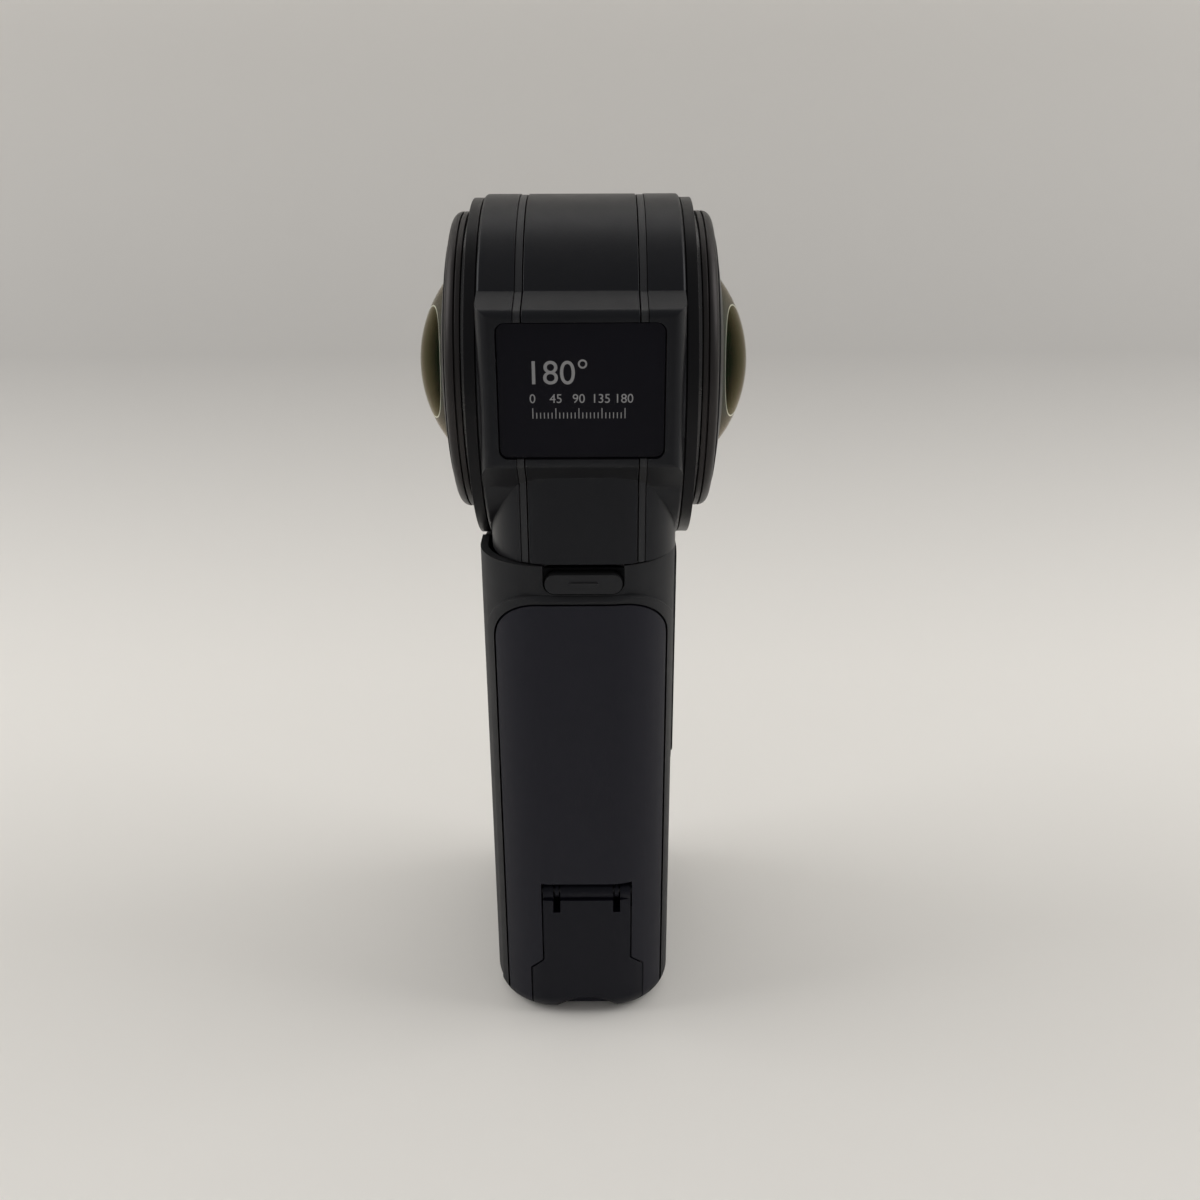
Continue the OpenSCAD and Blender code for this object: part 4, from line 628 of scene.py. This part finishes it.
def make_plate_print():
    print_words("plate_angle", ANGLE_WORDS, PRINT_LEFT, ANGLE_LOW, ANGLE_H, False)
    for k, words in enumerate(STEP_WORDS):
        print_words("plate_step_" + words, words, tick_x(k * TICKS_PER_STEP), STEP_LOW, STEP_H, True)
    print_ticks()


# Stage: a sheet that runs up behind the object in a curve, in metres
FLOOR_FRONT = -3.0
FLOOR_BACK = 0.1
COVE_R = 0.16
COVE_STEPS = 24
WALL_TOP = 1.2
STAGE_HALF = 3.0
WALL_SHADE_Z = 0.06
WALL_FADE_Z = 0.18
FLOOR_TINT = (0.84, 0.825, 0.795)
# The wall's darker band low down is painted shade
WALL_SHADE_TINT = (0.55, 0.54, 0.525)
WALL_TOP_TINT = (0.8, 0.785, 0.76)
PAPER_CLOUDS = 30
PAPER_ROUGHNESS = (0.8, 0.9)


def make_cove():
    path = [(FLOOR_FRONT, 0.0), (FLOOR_BACK, 0.0)]
    for step in range(1, COVE_STEPS + 1):
        turn = math.radians(90) * step / COVE_STEPS
        path.append((FLOOR_BACK + COVE_R * math.sin(turn), COVE_R * (1 - math.cos(turn))))
    path.append((FLOOR_BACK + COVE_R, WALL_TOP))
    points = [(x, y, z) for y, z in path for x in (-STAGE_HALF, STAGE_HALF)]
    faces = [(2 * i, 2 * i + 1, 2 * i + 3, 2 * i + 2) for i in range(len(path) - 1)]
    mesh = new_mesh("cove", points, faces)
    mesh.polygons.foreach_set("use_smooth", [True] * len(faces))
    material, tree, shader = new_material("paper_look")
    place = tree.nodes.new("ShaderNodeTexCoord")
    split = tree.nodes.new("ShaderNodeSeparateXYZ")
    tree.links.new(place.outputs["Object"], split.inputs["Vector"])
    climb = tree.nodes.new("ShaderNodeMapRange")
    climb.inputs["From Max"].default_value = WALL_FADE_Z
    tree.links.new(split.outputs["Z"], climb.inputs["Value"])
    # Painted shade: the paper darkens from the floor to a low band on the wall, then lightens towards the
    # top
    shade = tree.nodes.new("ShaderNodeValToRGB")
    shade.color_ramp.elements[0].color = (*FLOOR_TINT, 1)
    shade.color_ramp.elements[1].color = (*WALL_TOP_TINT, 1)
    shade.color_ramp.elements.new(WALL_SHADE_Z / WALL_FADE_Z).color = (*WALL_SHADE_TINT, 1)
    tree.links.new(climb.outputs["Result"], shade.inputs["Fac"])
    tree.links.new(shade.outputs["Color"], shader.inputs["Base Color"])
    roughened(tree, shader, noise(tree, PAPER_CLOUDS), *PAPER_ROUGHNESS)
    mesh.materials.append(material)
    new_object("cove", mesh)


# Lights, with places and sizes in metres
WARM_WHITE = (1.0, 0.985, 0.96)
BACK_LIGHT_PLACE = (0, 0.25, 0.43)
BACK_LIGHT_AIM = (0, -0.5, 0.1)
BACK_LIGHT_SIZE = (2.0, 0.42)
BACK_LIGHT_W = 1.8
SIDE_LIGHT_PLACE = (0.8, 0.0, 0.6)
SIDE_LIGHT_AIM = (0, 0, 0)
SIDE_LIGHT_SIZE = (0.5, 0.7)
SIDE_LIGHT_W = 3.2
WORLD_TINT = (0.62, 0.61, 0.6, 1)
WORLD_STRENGTH = 0.56


def area_light(name, place, aim, size, power):
    data = bpy.data.lights.new(name, "AREA")
    data.shape = "RECTANGLE"
    data.size, data.size_y = size
    data.energy = power
    data.color = WARM_WHITE
    light = new_object(name, data)
    light.location = place
    light.rotation_euler = (Vector(aim) - Vector(place)).to_track_quat("-Z", "Y").to_euler()


def make_lights():
    area_light("back_light", BACK_LIGHT_PLACE, BACK_LIGHT_AIM, BACK_LIGHT_SIZE, BACK_LIGHT_W)
    x, y, z = SIDE_LIGHT_PLACE
    for word, side in (("left", -1), ("right", 1)):
        place = (side * x, y, z)
        area_light("side_light_" + word, place, SIDE_LIGHT_AIM, SIDE_LIGHT_SIZE, SIDE_LIGHT_W)
    world = bpy.data.worlds.new("studio")
    world.use_nodes = True
    background = world.node_tree.nodes["Background"]
    background.inputs["Color"].default_value = WORLD_TINT
    background.inputs["Strength"].default_value = WORLD_STRENGTH
    bpy.context.scene.world = world


make_camera()
dress_nodes()
make_lens_rings()
make_release_leaf()
make_screen_shade_sheet()
make_plate_print()
make_cove()
make_lights()
bpy.context.scene.view_settings.view_transform = "Standard"
